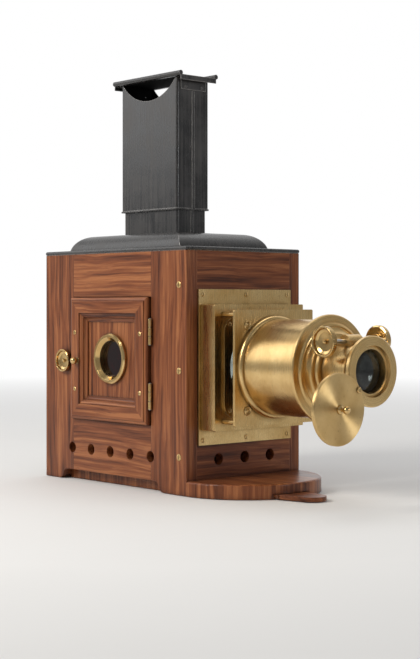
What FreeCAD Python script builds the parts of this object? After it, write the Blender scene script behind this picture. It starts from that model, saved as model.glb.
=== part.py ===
# Magic lantern for glass slides, a mahogany lamp house with brass optics.
# Millimetres. Origin on the floor under the middle of the lamp house,
# X forward along the lens axis, Z up, the hinged door on the -Y side.
import FreeCAD
import Part
import Sketcher
import math
import os

Vector = FreeCAD.Vector
Rotation = FreeCAD.Rotation

SIZES = {
    # lamp house
    "body_length": 275.0,
    "body_width": 180.0,
    "body_height": 280.0,
    "side_thickness": 12.0,
    "rear_stile": 58.5,
    "front_stile": 63.3,
    "opening_bottom": 76.0,
    "top_rail": 53.0,
    "arch_height": 12.5,
    "arch_rear_foot": 29.5,
    "arch_front_foot": 41.5,
    "arch_ogee": 16.0,
    "arch_curve": 8.5,
    "vent_radius": 6.8,
    "vent_pitch": 38.4,
    "vent_height": 40.0,
    "vent_middle": -4.2,
    "front_vent_pitch": 41.0,
    "front_vent_height": 39.0,
    "post_strip": 4.0,
    "post_width": 12.0,
    "post_depth": 20.0,
    "rail_thickness": 12.0,
    "front_rail_lap": 30.0,
    "rear_rail_height": 58.0,
    "off_panel_thickness": 7.0,
    "off_panel_recess": 3.0,
    "off_panel_field": 16.0,
    # base
    "base_thickness": 17.0,
    "base_round": 2.5,
    "tongue_width": 46.0,
    "tongue_thickness": 5.2,
    "tongue_flare": 3.0,
    "tongue_hold": 7.5,
    "tongue_show": 45.0,
    "tongue_offset": -8.0,
    "tongue_taper": 7.0,
    "groove_reach": 53.5,
    "slide_play": 0.3,
    # screws
    "screw_head": 3.8,
    "screw_small": 2.7,
    "screw_rise": 0.9,
    "screw_shank": 1.6,
    "screw_bite": 8.0,
    "cup_radius": 5.2,
    "cup_rise": 1.6,
    "slot_width": 0.9,
    "side_screw_inset": 13.2,
    "side_screw_bite": 15.5,
    "side_screw_low": 43.2,
    "side_screw_drop": 39.4,
    # roof and chimney
    "sheet_metal": 1.2,
    "roof_bead": 2.4,
    "dome_lip_end": 12.0,
    "dome_lip_side": 9.5,
    "dome_middle": -4.5,
    "dome_length": 219.0,
    "dome_width": 141.0,
    "dome_top_length": 155.0,
    "dome_top_width": 104.0,
    "dome_rise": 22.5,
    "dome_end_curve": 30.0,
    "dome_side_curve": 20.0,
    "flue_middle": -9.75,
    "tube_inset": 2.6,
    "tube_overlap": 66.5,
    "tube_bead": 4.0,
    "tube_corner": 2.0,
    "tube_foot": 6.0,
    "sleeve_length": 108.5,
    "sleeve_width": 51.0,
    "tube_show": 29.8,
    "sleeve_height": 161.5,
    "sleeve_corner": 2.5,
    "sleeve_scallop": 24.5,
    "seam_width": 4.0,
    "seam_rise": 1.0,
    "cap_overhang_end": 11.0,
    "cap_overhang_side": 5.8,
    "cap_roll": 3.0,
    "cap_tab_width": 40.0,
    "cap_tab_drop": 15.0,
    "cap_lip_drop": 5.0,
    "rivet_pitch": 25.0,
    "rivet_radius": 2.0,
    "rivet_drop": 11.0,
    # side door
    "door_catch_gap": 1.2,
    "door_hinge_gap": 2.0,
    "door_gap": 0.5,
    "door_proud": 7.0,
    "door_inside": 10.0,
    "door_bead": 3.5,
    "door_band": 19.0,
    "door_moulding": 10.5,
    "door_quirk": 0.9,
    "moulding_rise": 5.8,
    "panel_front": -1.0,
    "panel_back": -8.0,
    "sight_lift": 1.0,
    "sight_outer": 30.5,
    "sight_hole": 22.0,
    "sight_glass": 24.0,
    "sight_rise": 5.2,
    "pull_lift": 0.7,
    "pull_ball": 4.4,
    "pull_inset": 15.5,
    "pull_neck": 0.8,
    "door_screw_inset": 11.0,
    "door_screw_reach": 34.75,
    "glass_thickness": 2.5,
    "hinge_offset": 1.0,
    "hinge_stand": 2.6,
    "hinge_height": 30.0,
    "hinge_upper_drop": 40.5,
    "hinge_lower_rise": 34.0,
    "knuckle": 2.2,
    "knuckle_gap": 0.8,
    "hinge_pin": 1.0,
    "leaf": 1.1,
    "leaf_depth": 12.0,
    "catch_inset": 15.5,
    "catch_drop": 3.5,
    "catch_knob": 14.0,
    "catch_depth": 7.0,
    "catch_shaft": 2.5,
    "catch_reach": 31.0,
    "catch_bar_half": 5.0,
    "catch_bar_thickness": 2.5,
    "keeper_half_height": 8.0,
    "keeper_depth": 7.4,
    "keeper_sheet": 1.5,
    "keeper_lip": 15.2,
    "shaft_play": 0.06,
    # stage and condenser
    "lens_height": 146.0,
    "plate_half_width": 73.5,
    "plate_half_height": 89.5,
    "plate_thickness": 2.5,
    "plate_screw_inset": 6.0,
    "stage_half_width": 70.5,
    "stage_half_height": 72.0,
    "stage_depth": 24.0,
    "stage_wall": 3.0,
    "flange_half_width": 58.0,
    "flange_half_height": 57.0,
    "flange_corner": 16.0,
    "flange_thickness": 2.5,
    "flange_rebate": 2.0,
    "flange_screw_inset": 8.0,
    "condenser_radius": 51.0,
    "cell_wall": 2.0,
    "cell_depth": 52.0,
    "cell_lip": 2.5,
    "condenser_edge": 3.0,
    "condenser_bulge": 14.0,
    "pillar_inset": 5.0,
    "pillar_radius": 3.0,
    "slide_gap": 21.0,
    "lens_plate_thickness": 3.5,
    "lens_plate_half_width": 62.0,
    "lens_plate_half_height": 66.0,
    "lens_screw_clear": 5.8,
    "lens_screw_angle": 48.4,
    # barrel and objective
    "barrel_radius": 55.0,
    "barrel_wall": 2.0,
    "barrel_length": 85.5,
    "barrel_flange_width": 4.0,
    "barrel_flange_depth": 7.0,
    "nose_overhang": 6.0,
    "nose_rim": 5.0,
    "nose_seat": 7.0,
    "nose_length": 17.0,
    "jacket_wall": 3.0,
    "jacket_tail": 12.0,
    "jacket_show": 35.0,
    "draw_radius": 26.0,
    "draw_wall": 2.0,
    "draw_tail": 2.0,
    "draw_play": 0.08,
    "rack_width": 5.0,
    "rack_stand": 1.2,
    "rack_inset": 2.0,
    "gear_module": 0.8,
    "gear_teeth": 12.0,
    "gear_width": 5.0,
    "rack_addendum": 0.5,
    "rack_dedendum": 1.0,
    "gear_backlash": 0.2,
    "knob_gap": 0.8,
    "pinion_shaft": 2.4,
    "knob_radius": 16.8,
    "knob_thickness": 8.5,
    "knob_inner": 37.5,
    "bracket_length": 22.0,
    "bracket_half_width": 11.0,
    "hood_radius": 38.5,
    "hood_reach": 14.5,
    "hood_rim": 5.5,
    "hood_mouth_step": 2.0,
    "lens_recess": 9.5,
    "hood_depth": 10.5,
    "tube_lens_edge": 4.0,
    "tube_lens_bulge": 3.0,
    # swinging cap of the objective
    "flap_reveal": 0.2,
    "flap_thickness": 5.0,
    "flap_web": 2.5,
    "flap_lip": 7.0,
    "flap_gap": 0.4,
    "flap_pivot_inset": 3.8,
    "flap_pivot_angle": 212.0,
    "flap_rest_angle": 214.0,
    "flap_knob_length": 14.0,
    "flap_ball": 4.2,
    "flap_edge": 0.9,
    "pivot_radius": 2.2,
    # lamp
    "tray_front": 201.2,
    "tray_half_width": 56.0,
    "tray_rim": 9.0,
    "back_gap": 0.5,
    "grip_half_width": 22.0,
    "grip_height": 118.0,
    "grip_reach": 12.0,
    "grip_lip": 8.0,
    "runner_width": 6.0,
    "runner_height": 8.0,
    "tank_half_length": 52.0,
    "tank_half_width": 42.0,
    "tank_height": 42.0,
    "tank_corner": 10.0,
    "tank_middle": 115.2,
    "filler_radius": 11.0,
    "filler_rise": 9.0,
    "filler_offset": 32.0,
    "filler_y": -26.0,
    "wick_half_width": 24.0,
    "wick_half_thickness": 7.0,
    "wick_height": 36.0,
    "wick_fill": 30.0,
    "spindle_radius": 2.0,
    "spindle_rise": 11.5,
    "spindle_boss": 6.0,
    "spindle_knob": 8.0,
    "spindle_knob_depth": 6.0,
    "spindle_show": 8.8,
    "reflector_radius": 48.0,
    "reflector_dish": 12.0,
    "reflector_reach": 70.0,
    "reflector_leg": 2.2,
    "reflector_leg_y": 20.0,
    "reflector_grip": 39.5,
}

document = FreeCAD.newDocument("magic_lantern")
sheet = document.addObject("Spreadsheet::Sheet", "sizes")
for row, (alias, value) in enumerate(SIZES.items(), 1):
    sheet.set(f"A{row}", alias.replace("_", " "))
    sheet.set(f"B{row}", str(value))
    sheet.setAlias(f"B{row}", alias)
document.recompute()


class Size:
    """A length with its present value and the sheet expression it comes from."""

    def __init__(self, value, text):
        self.value = float(value)
        self.text = text

    def join(self, other, sign, swap=False):
        other = other if isinstance(other, Size) else Size(other, repr(float(other)))
        left, right = (other, self) if swap else (self, other)
        results = {
            "+": left.value + right.value,
            "-": left.value - right.value,
            "*": left.value * right.value,
        }
        if sign == "/":
            results["/"] = left.value / right.value
        return Size(results[sign], f"({left.text} {sign} {right.text})")

    def __add__(self, other):
        return self.join(other, "+")

    def __radd__(self, other):
        return self.join(other, "+", True)

    def __sub__(self, other):
        return self.join(other, "-")

    def __rsub__(self, other):
        return self.join(other, "-", True)

    def __mul__(self, other):
        return self.join(other, "*")

    def __rmul__(self, other):
        return self.join(other, "*", True)

    def __truediv__(self, other):
        return self.join(other, "/")

    def __neg__(self):
        return Size(-self.value, f"(-1 * {self.text})")

    def __float__(self):
        return self.value


class Sizes:
    """Every cell of the sheet as an attribute."""


d = Sizes()
for alias in SIZES:
    setattr(d, alias, Size(sheet.get(alias), f"sizes.{alias}"))

half_length = d.body_length / 2
half_width = d.body_width / 2
inner_width = half_width - d.side_thickness
opening_rear = d.rear_stile - half_length
opening_front = half_length - d.front_stile
opening_bottom = d.opening_bottom
opening_top = d.body_height - d.top_rail


def cosine(angle):
    """The cosine of an angle in degrees."""
    return Size(math.cos(math.radians(angle.value)), f"cos({angle.text})")


def sine(angle):
    """The sine of an angle in degrees."""
    return Size(math.sin(math.radians(angle.value)), f"sin({angle.text})")


# The door in its opening, and what lines up with it
door_rear = opening_rear + d.door_catch_gap
door_front = opening_front - d.door_hinge_gap
door_bottom = opening_bottom + d.door_gap
door_top = opening_top - d.door_gap
sight_middle = (door_rear + door_front) / 2
door_middle = (door_bottom + door_top) / 2
sight_height = door_middle + d.sight_lift
catch_x = opening_rear - d.catch_inset
catch_height = door_middle - d.catch_drop
pull_height = catch_height + d.pull_lift
door_screw_low = pull_height - d.door_screw_reach
door_screw_high = pull_height + d.door_screw_reach
hinge_x = opening_front + d.hinge_offset
hinge_y = -half_width - d.hinge_stand
hinge_upper = door_top - d.hinge_upper_drop
hinge_lower = door_bottom + d.hinge_lower_rise
side_screw_high = d.body_height - d.side_screw_drop
side_screw_levels = {
    "low": d.side_screw_low,
    "mid": (d.side_screw_low + side_screw_high) / 2,
    "high": side_screw_high,
}

# The base board's round front, and the tongue that slides in it
base_radius = half_width
tongue_tip = half_length + base_radius + d.tongue_show
tongue_root = half_length - d.tongue_hold
groove_start = half_length - d.groove_reach

# Stage, barrel and objective, each from the piece behind it
plate_bottom = d.lens_height - d.plate_half_height
plate_top = d.lens_height + d.plate_half_height
plate_screw_y = d.plate_half_width - d.plate_screw_inset
plate_screw_low = plate_bottom + d.plate_screw_inset
plate_screw_high = plate_top - d.plate_screw_inset
stage_front = half_length + d.plate_thickness + d.stage_depth
flange_hole = d.condenser_radius - d.flange_rebate
flange_screw_y = d.flange_half_width - d.flange_screw_inset
flange_screw_z = d.flange_half_height - d.flange_screw_inset
cell_back = stage_front - d.cell_depth
pillar_y = d.lens_plate_half_width - d.pillar_inset
pillar_z = d.lens_plate_half_height - d.pillar_inset
lens_plate_back = stage_front + d.slide_gap
barrel_flange = d.barrel_radius + d.barrel_flange_width
lens_screw_y = (barrel_flange + d.lens_screw_clear) * cosine(d.lens_screw_angle)
lens_screw_z = (barrel_flange + d.lens_screw_clear) * sine(d.lens_screw_angle)
barrel_front = lens_plate_back + d.lens_plate_thickness + d.barrel_length
nose_radius = d.barrel_radius + d.nose_overhang
nose_front = barrel_front + d.nose_length
jacket_radius = d.draw_radius + d.jacket_wall
jacket_back = barrel_front - d.jacket_tail
jacket_front = nose_front + d.jacket_show
draw_bore = d.draw_radius - d.draw_wall
draw_back = jacket_back + d.draw_tail
rack_pitch_line = d.draw_radius + d.rack_stand
rack_back = draw_back + d.rack_inset
rack_front = jacket_front - d.rack_inset
pinion_x = nose_front + d.knob_radius + d.knob_gap
hood_front = jacket_front + d.hood_reach
hood_mouth = d.draw_radius + d.hood_mouth_step
lens_front = hood_front - d.lens_recess

# The swinging cap, which closes on the hood when turned about its pivot
flap_radius = d.hood_radius - d.flap_reveal
flap_arm = d.hood_radius - d.flap_pivot_inset
flap_pivot_y = flap_arm * cosine(d.flap_pivot_angle)
flap_pivot_z = flap_arm * sine(d.flap_pivot_angle)
flap_rest_y = flap_arm * cosine(d.flap_rest_angle)
flap_rest_z = flap_arm * sine(d.flap_rest_angle)
NODES = {}


def bind(thing, prop, size):
    """Sets a property, from the sheet where the size comes from it."""
    if isinstance(size, Size):
        thing.setExpression(prop, size.text)
    elif size:
        thing.setExpression(prop, repr(float(size)))


def place(thing, centre, rotation=None):
    """Moves an object to a point given by three sizes."""
    if rotation:
        thing.Placement = FreeCAD.Placement(Vector(), rotation)
    for letter, size in zip("xyz", centre):
        bind(thing, f"Placement.Base.{letter}", size)
    return thing


def node(label, thing):
    """Names a finished sub-part."""
    thing.Label = label
    NODES[label] = thing
    return thing


def box(name, xs, ys, zs):
    """A block between three pairs of coordinates."""
    block = document.addObject("Part::Box", name)
    for prop, (low, high) in zip(("Length", "Width", "Height"), (xs, ys, zs)):
        bind(block, prop, high - low)
    return place(block, (xs[0], ys[0], zs[0]))


TURNS = {
    "X": Rotation(Vector(0, 1, 0), 90),
    "Y": Rotation(Vector(1, 0, 0), -90),
    "Z": None,
}


def rod(name, axis, start, length, radius):
    """A cylinder from a start point along X, Y or Z."""
    cylinder = document.addObject("Part::Cylinder", name)
    bind(cylinder, "Radius", radius)
    bind(cylinder, "Height", length)
    return place(cylinder, start, TURNS[axis])


def ball(name, centre, radius):
    """A sphere."""
    sphere = document.addObject("Part::Sphere", name)
    bind(sphere, "Radius", radius)
    return place(sphere, centre)


def group(name, things):
    """Several separate solids that make one sub-part."""
    compound = document.addObject("Part::Compound", name)
    compound.Links = things
    return compound


def fuse(name, things):
    """Joins solids into one."""
    joined = document.addObject("Part::MultiFuse", name)
    joined.Shapes = things
    return joined


def common(name, things):
    """Keeps what all the solids share."""
    shared = document.addObject("Part::MultiCommon", name)
    shared.Shapes = things
    return shared


def cut(name, base, tools):
    """Takes tools away from a base."""
    result = document.addObject("Part::Cut", name)
    result.Base = base
    result.Tool = tools[0] if len(tools) == 1 else fuse(f"{name}_tools", tools)
    return result


def arc_between(start, end, radius):
    """The arc from start to end, bending left for a positive radius."""
    chord = end - start
    half = chord.Length / 2
    side = 1 if radius > 0 else -1
    normal = Vector(-chord.y, chord.x, 0).normalize() * side
    rise = math.sqrt(max(radius * radius - half * half, 0.0))
    centre = (start + end) * 0.5 + normal * rise
    circle = Part.Circle(centre, Vector(0, 0, 1), abs(radius))
    ends = (start, end) if side > 0 else (end, start)
    angles = [math.atan2(p.y - centre.y, p.x - centre.x) for p in ends]
    return Part.ArcOfCircle(circle, angles[0], angles[1])


def pin(sketch, geometry, point, x, y):
    """Holds a sketch point at two sizes measured from the sketch origin."""
    for kind, size in (("DistanceX", x), ("DistanceY", y)):
        rule = Sketcher.Constraint(kind, -1, 1, geometry, point, float(size))
        index = sketch.addConstraint(rule)
        if isinstance(size, Size):
            sketch.setExpression(f"Constraints[{index}]", size.text)


def draw(sketch, corners):
    """A closed outline. A third value on a corner makes the next edge an arc."""
    points = [Vector(float(c[0]), float(c[1]), 0) for c in corners]
    edges = []
    for i, corner in enumerate(corners):
        start, end = points[i], points[(i + 1) % len(points)]
        if len(corner) == 2:
            edges.append((sketch.addGeometry(Part.LineSegment(start, end)), 1, 2))
            continue
        radius = corner[2]
        index = sketch.addGeometry(arc_between(start, end, float(radius)))
        ends = (1, 2) if float(radius) > 0 else (2, 1)
        edges.append((index, *ends))
        size = radius if float(radius) > 0 else -radius
        rule = sketch.addConstraint(Sketcher.Constraint("Radius", index, float(size)))
        if isinstance(size, Size):
            sketch.setExpression(f"Constraints[{rule}]", size.text)
    for i, (index, first, last) in enumerate(edges):
        follower = edges[(i + 1) % len(edges)]
        sketch.addConstraint(
            Sketcher.Constraint("Coincident", index, last, follower[0], follower[1]))
        pin(sketch, index, first, corners[i][0], corners[i][1])


def draw_circle(sketch, x, y, radius):
    """A full circle."""
    circle = Part.Circle(Vector(float(x), float(y), 0), Vector(0, 0, 1), float(radius))
    index = sketch.addGeometry(circle)
    pin(sketch, index, 3, x, y)
    rule = sketch.addConstraint(Sketcher.Constraint("Radius", index, float(radius)))
    if isinstance(radius, Size):
        sketch.setExpression(f"Constraints[{rule}]", radius.text)


def rounded(middle, half_x, half_y, radius, centre=0.0):
    """The corners of a rectangle with rounded corners."""
    left, right = middle - half_x, middle + half_x
    low, high = centre - half_y, centre + half_y
    return [
        (left + radius, low),
        (right - radius, low, radius),
        (right, low + radius),
        (right, high - radius, radius),
        (right - radius, high),
        (left + radius, high, radius),
        (left, high - radius),
        (left, low + radius, radius),
    ]


def sketch_on(body, name, plane, offset=0.0):
    """A sketch on one of the body's own planes, or parallel to it."""
    sketch = body.newObject("Sketcher::SketchObject", name)
    support = [f for f in body.Origin.OriginFeatures if f.Role == f"{plane}_Plane"][0]
    sketch.AttachmentSupport = [(support, "")]
    sketch.MapMode = "FlatFace"
    bind(sketch, "AttachmentOffset.Base.z", offset)
    return sketch


def padded(name, plane, corners, offset, depth, holes=(), inner=()):
    """A plate: an outline with holes, given its depth along the plane's normal."""
    body = document.addObject("PartDesign::Body", name)
    sketch = sketch_on(body, f"{name}_outline", plane, offset)
    draw(sketch, corners)
    for hole in holes:
        draw_circle(sketch, *hole)
    for outline in inner:
        draw(sketch, outline)
    pad = body.newObject("PartDesign::Pad", f"{name}_pad")
    pad.Profile = sketch
    bind(pad, "Length", depth)
    sketch.Visibility = False
    return body


AIMS = {
    "X": Rotation(),
    "Y": Rotation(Vector(0, 0, 1), 90),
    "-Y": Rotation(Vector(0, 0, 1), -90),
    "-X": Rotation(Vector(0, 0, 1), 180),
    "Z": Rotation(Vector(0, 1, 0), -90),
}


def turned(name, aim, start, corners):
    """A turned piece: an outline of (along, radius) spun about its own axis."""
    body = document.addObject("PartDesign::Body", name)
    sketch = sketch_on(body, f"{name}_outline", "XZ")
    draw(sketch, corners)
    spin = body.newObject("PartDesign::Revolution", f"{name}_spin")
    spin.Profile = sketch
    spin.ReferenceAxis = (sketch, ["H_Axis"])
    spin.Angle = 360
    sketch.Visibility = False
    return place(body, start, AIMS[aim])


def milled(body, radius, count, depth):
    """Cuts a ring of notches along the edge of a turned piece."""
    width = 0.62 * math.pi * float(radius) / count
    sketch = sketch_on(body, f"{body.Name}_notch", "YZ")
    draw(sketch, [
        (-width, radius + depth),
        (0.0, radius - depth),
        (width, radius + depth),
    ])
    notch = body.newObject("PartDesign::Pocket", f"{body.Name}_mill")
    notch.Profile = sketch
    notch.Type = "ThroughAll"
    notch.Midplane = True
    ring = body.newObject("PartDesign::PolarPattern", f"{body.Name}_milling")
    ring.Originals = [notch]
    axis = [f for f in body.Origin.OriginFeatures if f.Role == "X_Axis"][0]
    ring.Axis = (axis, [""])
    ring.Angle = 360
    ring.Occurrences = count
    body.Tip = ring
    sketch.Visibility = False
    return body


def hollow_knob(rim, depth, shaft, shaft_length):
    """The outline of a cup-faced knob on a stub of its shaft, with the shaft's end in the cup."""
    neck, button = rim * 0.32, rim * 0.16
    floor = depth * 0.40
    return [
        (-shaft_length, 0.0),
        (-shaft_length, shaft),
        (0.0, shaft),
        (0.0, rim * 0.45),
        (depth * 0.12, rim * 0.45),
        (depth * 0.2, neck),
        (depth * 0.25, neck),
        (depth * 0.25, rim * 0.90),
        (depth * 0.34, rim),
        (depth * 0.92, rim),
        (depth, rim * 0.95),
        (depth, rim * 0.88),
        (depth * 0.92, rim * 0.84),
        (depth * 0.60, rim * 0.80),
        (depth * 0.46, rim * 0.62),
        (floor, button),
        (floor + button * 0.8, button * 0.9),
        (floor + button * 1.2, button * 0.5),
        (floor + button * 1.3, 0.0),
    ]


SCREW_STEP = {
    "X": (1, 0, 0),
    "-X": (-1, 0, 0),
    "Y": (0, 1, 0),
    "-Y": (0, -1, 0),
}


def along(aim, start, size):
    """A point moved from start by a size along a direction."""
    return tuple(s + size * k if k else s for s, k in zip(start, SCREW_STEP[aim]))


def slotted(body, name, low, high, reach):
    """A turned screw head with a screwdriver slot across it."""
    sketch = sketch_on(body, f"{name}_slot", "XY")
    draw(sketch, [
        (low, -d.slot_width / 2),
        (high, -d.slot_width / 2),
        (high, d.slot_width / 2),
        (low, d.slot_width / 2),
    ])
    slot = body.newObject("PartDesign::Pocket", f"{name}_cut")
    slot.Profile = sketch
    slot.Type = "Length"
    bind(slot, "Length", reach * 2)
    slot.Midplane = True
    body.Tip = slot
    sketch.Visibility = False
    return body


def screw(name, aim, start, radius, bite):
    """A slotted round-head screw whose head sits on start and faces aim."""
    body = turned(name, aim, start, [
        (-bite, 0.0),
        (-bite, d.screw_shank),
        (0.0, d.screw_shank),
        (0.0, radius),
        (d.screw_rise * 0.4, radius),
        (d.screw_rise, radius * 0.6),
        (d.screw_rise, 0.0),
    ])
    return slotted(body, name, d.screw_rise * 0.45, d.screw_rise * 2.0, radius * 1.1)


def cup_screw(name, aim, start, bite):
    """A slotted screw in a raised cup washer, as one turned piece."""
    head = d.cup_radius * 0.62
    body = turned(name, aim, start, [
        (-bite, 0.0),
        (-bite, d.screw_shank),
        (0.0, d.screw_shank),
        (0.0, d.cup_radius),
        (d.cup_rise * 0.5, d.cup_radius),
        (d.cup_rise, d.cup_radius * 0.88),
        (d.cup_rise, d.cup_radius * 0.80),
        (d.cup_rise * 0.3, head),
        (d.cup_rise * 0.3, head * 0.95),
        (d.cup_rise * 0.75, head * 0.6),
        (d.cup_rise * 0.75, 0.0),
    ])
    return slotted(body, name, d.cup_rise * 0.3, d.cup_rise * 1.5, head * 0.9)


def screw_hole(name, aim, start, bite):
    """The hole the shank of such a screw fills."""
    axis = aim[-1]
    low = along(aim, start, -bite) if aim == axis else start
    return rod(name, axis, low, bite, d.screw_shank)


# Lamp house: framed sides, the arch between the feet cut from stiles and rails
def stiles(name, offset):
    """The two upright boards of one side."""
    rear_foot = d.arch_rear_foot - half_length
    front_foot = half_length - d.arch_front_foot
    rear = padded(f"{name}_rear", "XZ", [
        (-half_length, 0.0),
        (rear_foot, 0.0, d.arch_curve),
        (rear_foot + d.arch_ogee / 2, d.arch_height / 2, -d.arch_curve),
        (rear_foot + d.arch_ogee, d.arch_height),
        (opening_rear, d.arch_height),
        (opening_rear, d.body_height),
        (-half_length, d.body_height),
    ], offset, d.side_thickness)
    front = padded(f"{name}_front", "XZ", [
        (front_foot, 0.0),
        (half_length, 0.0),
        (half_length, d.body_height),
        (opening_front, d.body_height),
        (opening_front, d.arch_height),
        (front_foot - d.arch_ogee, d.arch_height, -d.arch_curve),
        (front_foot - d.arch_ogee / 2, d.arch_height / 2, d.arch_curve),
    ], offset, d.side_thickness)
    return group(name, [rear, front])


def rails(name, ys):
    """The two level boards of one side, above and below the opening."""
    xs = (opening_rear, opening_front)
    return group(name, [
        box(f"{name}_low", xs, ys, (d.arch_height, opening_bottom)),
        box(f"{name}_high", xs, ys, (opening_top, d.body_height)),
    ])


side_vents = [
    rod(f"side_vent_{i}", "Y", (d.vent_middle + d.vent_pitch * i, -half_width, d.vent_height),
        d.body_width, d.vent_radius)
    for i in range(-2, 3)
]
screw_x = half_length - d.side_screw_inset
side_screws, side_holes = [], []
for aim, face in (("-Y", -half_width), ("Y", half_width)):
    for level, height in side_screw_levels.items():
        spot = (screw_x, face, height)
        name = f"side_screw_{level}_{'door' if aim == '-Y' else 'off'}"
        side_screws.append(screw(name, aim, spot, d.screw_head, d.side_screw_bite))
        side_holes.append(screw_hole(f"{name}_hole", aim, spot, d.side_screw_bite))
node("body_screws", group("body_screw_set", side_screws))

hinge_levels = (hinge_lower, hinge_upper)
catch_hole = rod("catch_hole", "Y", (catch_x, -half_width, catch_height),
                 d.side_thickness, d.catch_shaft + d.shaft_play)
leaf_mortises = [
    box(f"leaf_mortise_{i}", (opening_front, opening_front + d.leaf),
        (-half_width, d.leaf_depth - half_width),
        (level - d.hinge_height / 2, level + d.hinge_height / 2))
    for i, level in enumerate(hinge_levels)
]
node("door_side_stiles", cut("door_side_stile_cut", stiles("door_stiles", inner_width),
                             side_vents + side_holes + leaf_mortises + [catch_hole]))
node("door_side_rails", cut("door_side_rail_cut",
                            rails("door_rails", (-half_width, -inner_width)), side_vents))
node("off_side_stiles", cut("off_side_stile_cut", stiles("off_stiles", -half_width),
                            side_vents + side_holes))
node("off_side_rails", cut("off_side_rail_cut",
                           rails("off_rails", (inner_width, half_width)), side_vents))

# Fixed panel of the far side, with a raised field
field_back = half_width - d.off_panel_recess - d.off_panel_thickness / 2
panel_plate = box("off_panel_plate", (opening_rear, opening_front),
                  (field_back - d.off_panel_thickness / 2, field_back),
                  (opening_bottom, opening_top))
field = document.addObject("Part::Wedge", "off_panel_raise")
for prop, size in (
    ("Xmin", opening_rear), ("Xmax", opening_front),
    ("Ymin", field_back), ("Ymax", half_width - d.off_panel_recess),
    ("Zmin", opening_bottom), ("Zmax", opening_top),
    ("X2min", opening_rear + d.off_panel_field), ("X2max", opening_front - d.off_panel_field),
    ("Z2min", opening_bottom + d.off_panel_field), ("Z2max", opening_top - d.off_panel_field),
):
    bind(field, prop, size)
node("off_side_panel", fuse("off_panel", [panel_plate, field]))

# Front and rear of the lamp house
rail_back = half_length - d.rail_thickness
rail_half = inner_width - d.post_strip
post_zs = (d.base_thickness, d.body_height)
posts = []
for side, outer, strip, inner in (
    ("door", (-inner_width, d.post_width - inner_width), -rail_half, d.post_width - inner_width),
    ("off", (inner_width - d.post_width, inner_width), rail_half, inner_width - d.post_width),
):
    post = box(f"{side}_post", (half_length - d.post_depth, half_length), outer, post_zs)
    lap_ys = (strip, inner) if side == "door" else (inner, strip)
    lap = box(f"{side}_post_lap", (rail_back, half_length), lap_ys, post_zs)
    posts.append(cut(f"{side}_post_cut", post, [lap]))
node("front_posts", cut("front_post_cut", group("front_post_pair", posts), side_holes))

plate_front = half_length + d.plate_thickness
plate_bite = d.screw_bite + d.plate_thickness
plate_screws, plate_holes = [], []
for row, level in (("low", plate_screw_low), ("high", plate_screw_high)):
    for column in (-1, 0, 1):
        spot = (plate_front, plate_screw_y * column, level)
        name = f"plate_screw_{row}_{column + 1}"
        plate_screws.append(screw(name, "X", spot, d.screw_small, plate_bite))
        plate_holes.append(screw_hole(f"{name}_hole", "X", spot, plate_bite))
node("front_plate_screws", group("front_plate_screw_set", plate_screws))
front_vents = [
    rod(f"front_vent_{i}", "X", (rail_back, d.front_vent_pitch * i, d.front_vent_height),
        d.rail_thickness, d.vent_radius)
    for i in (-1, 0, 1)
]
front_rail_pair = group("front_rail_pair", [
    box("front_rail_low", (rail_back, half_length), (-rail_half, rail_half),
        (d.base_thickness, plate_bottom + d.front_rail_lap)),
    box("front_rail_high", (rail_back, half_length), (-rail_half, rail_half),
        (plate_top - d.front_rail_lap, d.body_height)),
])
node("front_rails", cut("front_rail_cut", front_rail_pair, front_vents + plate_holes))
node("rear_rail", box("rear_rail_board", (-half_length, d.rail_thickness - half_length),
                      (-inner_width, inner_width),
                      (d.body_height - d.rear_rail_height, d.body_height)))

# Base board with its half-round front, and the tongue that slides below it
board = padded("board", "XY", [
    (-half_length, -inner_width),
    (half_length, -inner_width),
    (half_length, -base_radius, base_radius),
    (half_length + base_radius, 0.0, base_radius),
    (half_length, base_radius),
    (half_length, inner_width),
    (-half_length, inner_width),
], 0.0, d.base_thickness)
document.recompute()
rim = [
    f"Edge{i}" for i, edge in enumerate(board.Shape.Edges, 1)
    if isinstance(edge.Curve, Part.Circle) and edge.BoundBox.ZMin > float(d.base_thickness) / 2
]
board_pad = board.Tip
rim_round = board.newObject("PartDesign::Fillet", "board_rim_round")
rim_round.Base = (board_pad, rim)
bind(rim_round, "Radius", d.base_round)
board.Tip = rim_round


def dovetail(name, low, high, half, start, length):
    """A bar wider at the top than below, lying along X on the tongue's line."""
    return padded(name, "YZ", [
        (d.tongue_offset - half, low),
        (d.tongue_offset + half, low),
        (d.tongue_offset + half + d.tongue_flare, high),
        (d.tongue_offset - half - d.tongue_flare, high),
    ], start, length)


board_front = half_length + base_radius
tongue_half = d.tongue_width / 2
groove = dovetail("groove", 0.0, d.tongue_thickness + d.slide_play * 2,
                  tongue_half + d.slide_play, groove_start, d.body_length)
node("base_board", cut("base_board_cut", board, [groove]))
tongue_bar = dovetail("tongue_bar", d.slide_play, d.slide_play + d.tongue_thickness,
                      tongue_half, tongue_root, tongue_tip - tongue_root)
broad = tongue_half + d.tongue_flare * 2
tip_half = tongue_half - d.tongue_taper
tongue_plan = padded("tongue_plan", "XY", [
    (tongue_root, d.tongue_offset - broad),
    (board_front, d.tongue_offset - broad),
    (board_front, d.tongue_offset - tongue_half),
    (tongue_tip - tip_half, d.tongue_offset - tip_half, tip_half),
    (tongue_tip, d.tongue_offset, tip_half),
    (tongue_tip - tip_half, d.tongue_offset + tip_half),
    (board_front, d.tongue_offset + tongue_half),
    (board_front, d.tongue_offset + broad),
    (tongue_root, d.tongue_offset + broad),
], 0.0, d.base_thickness)
node("steady_tongue", common("tongue", [tongue_bar, tongue_plan]))

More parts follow.
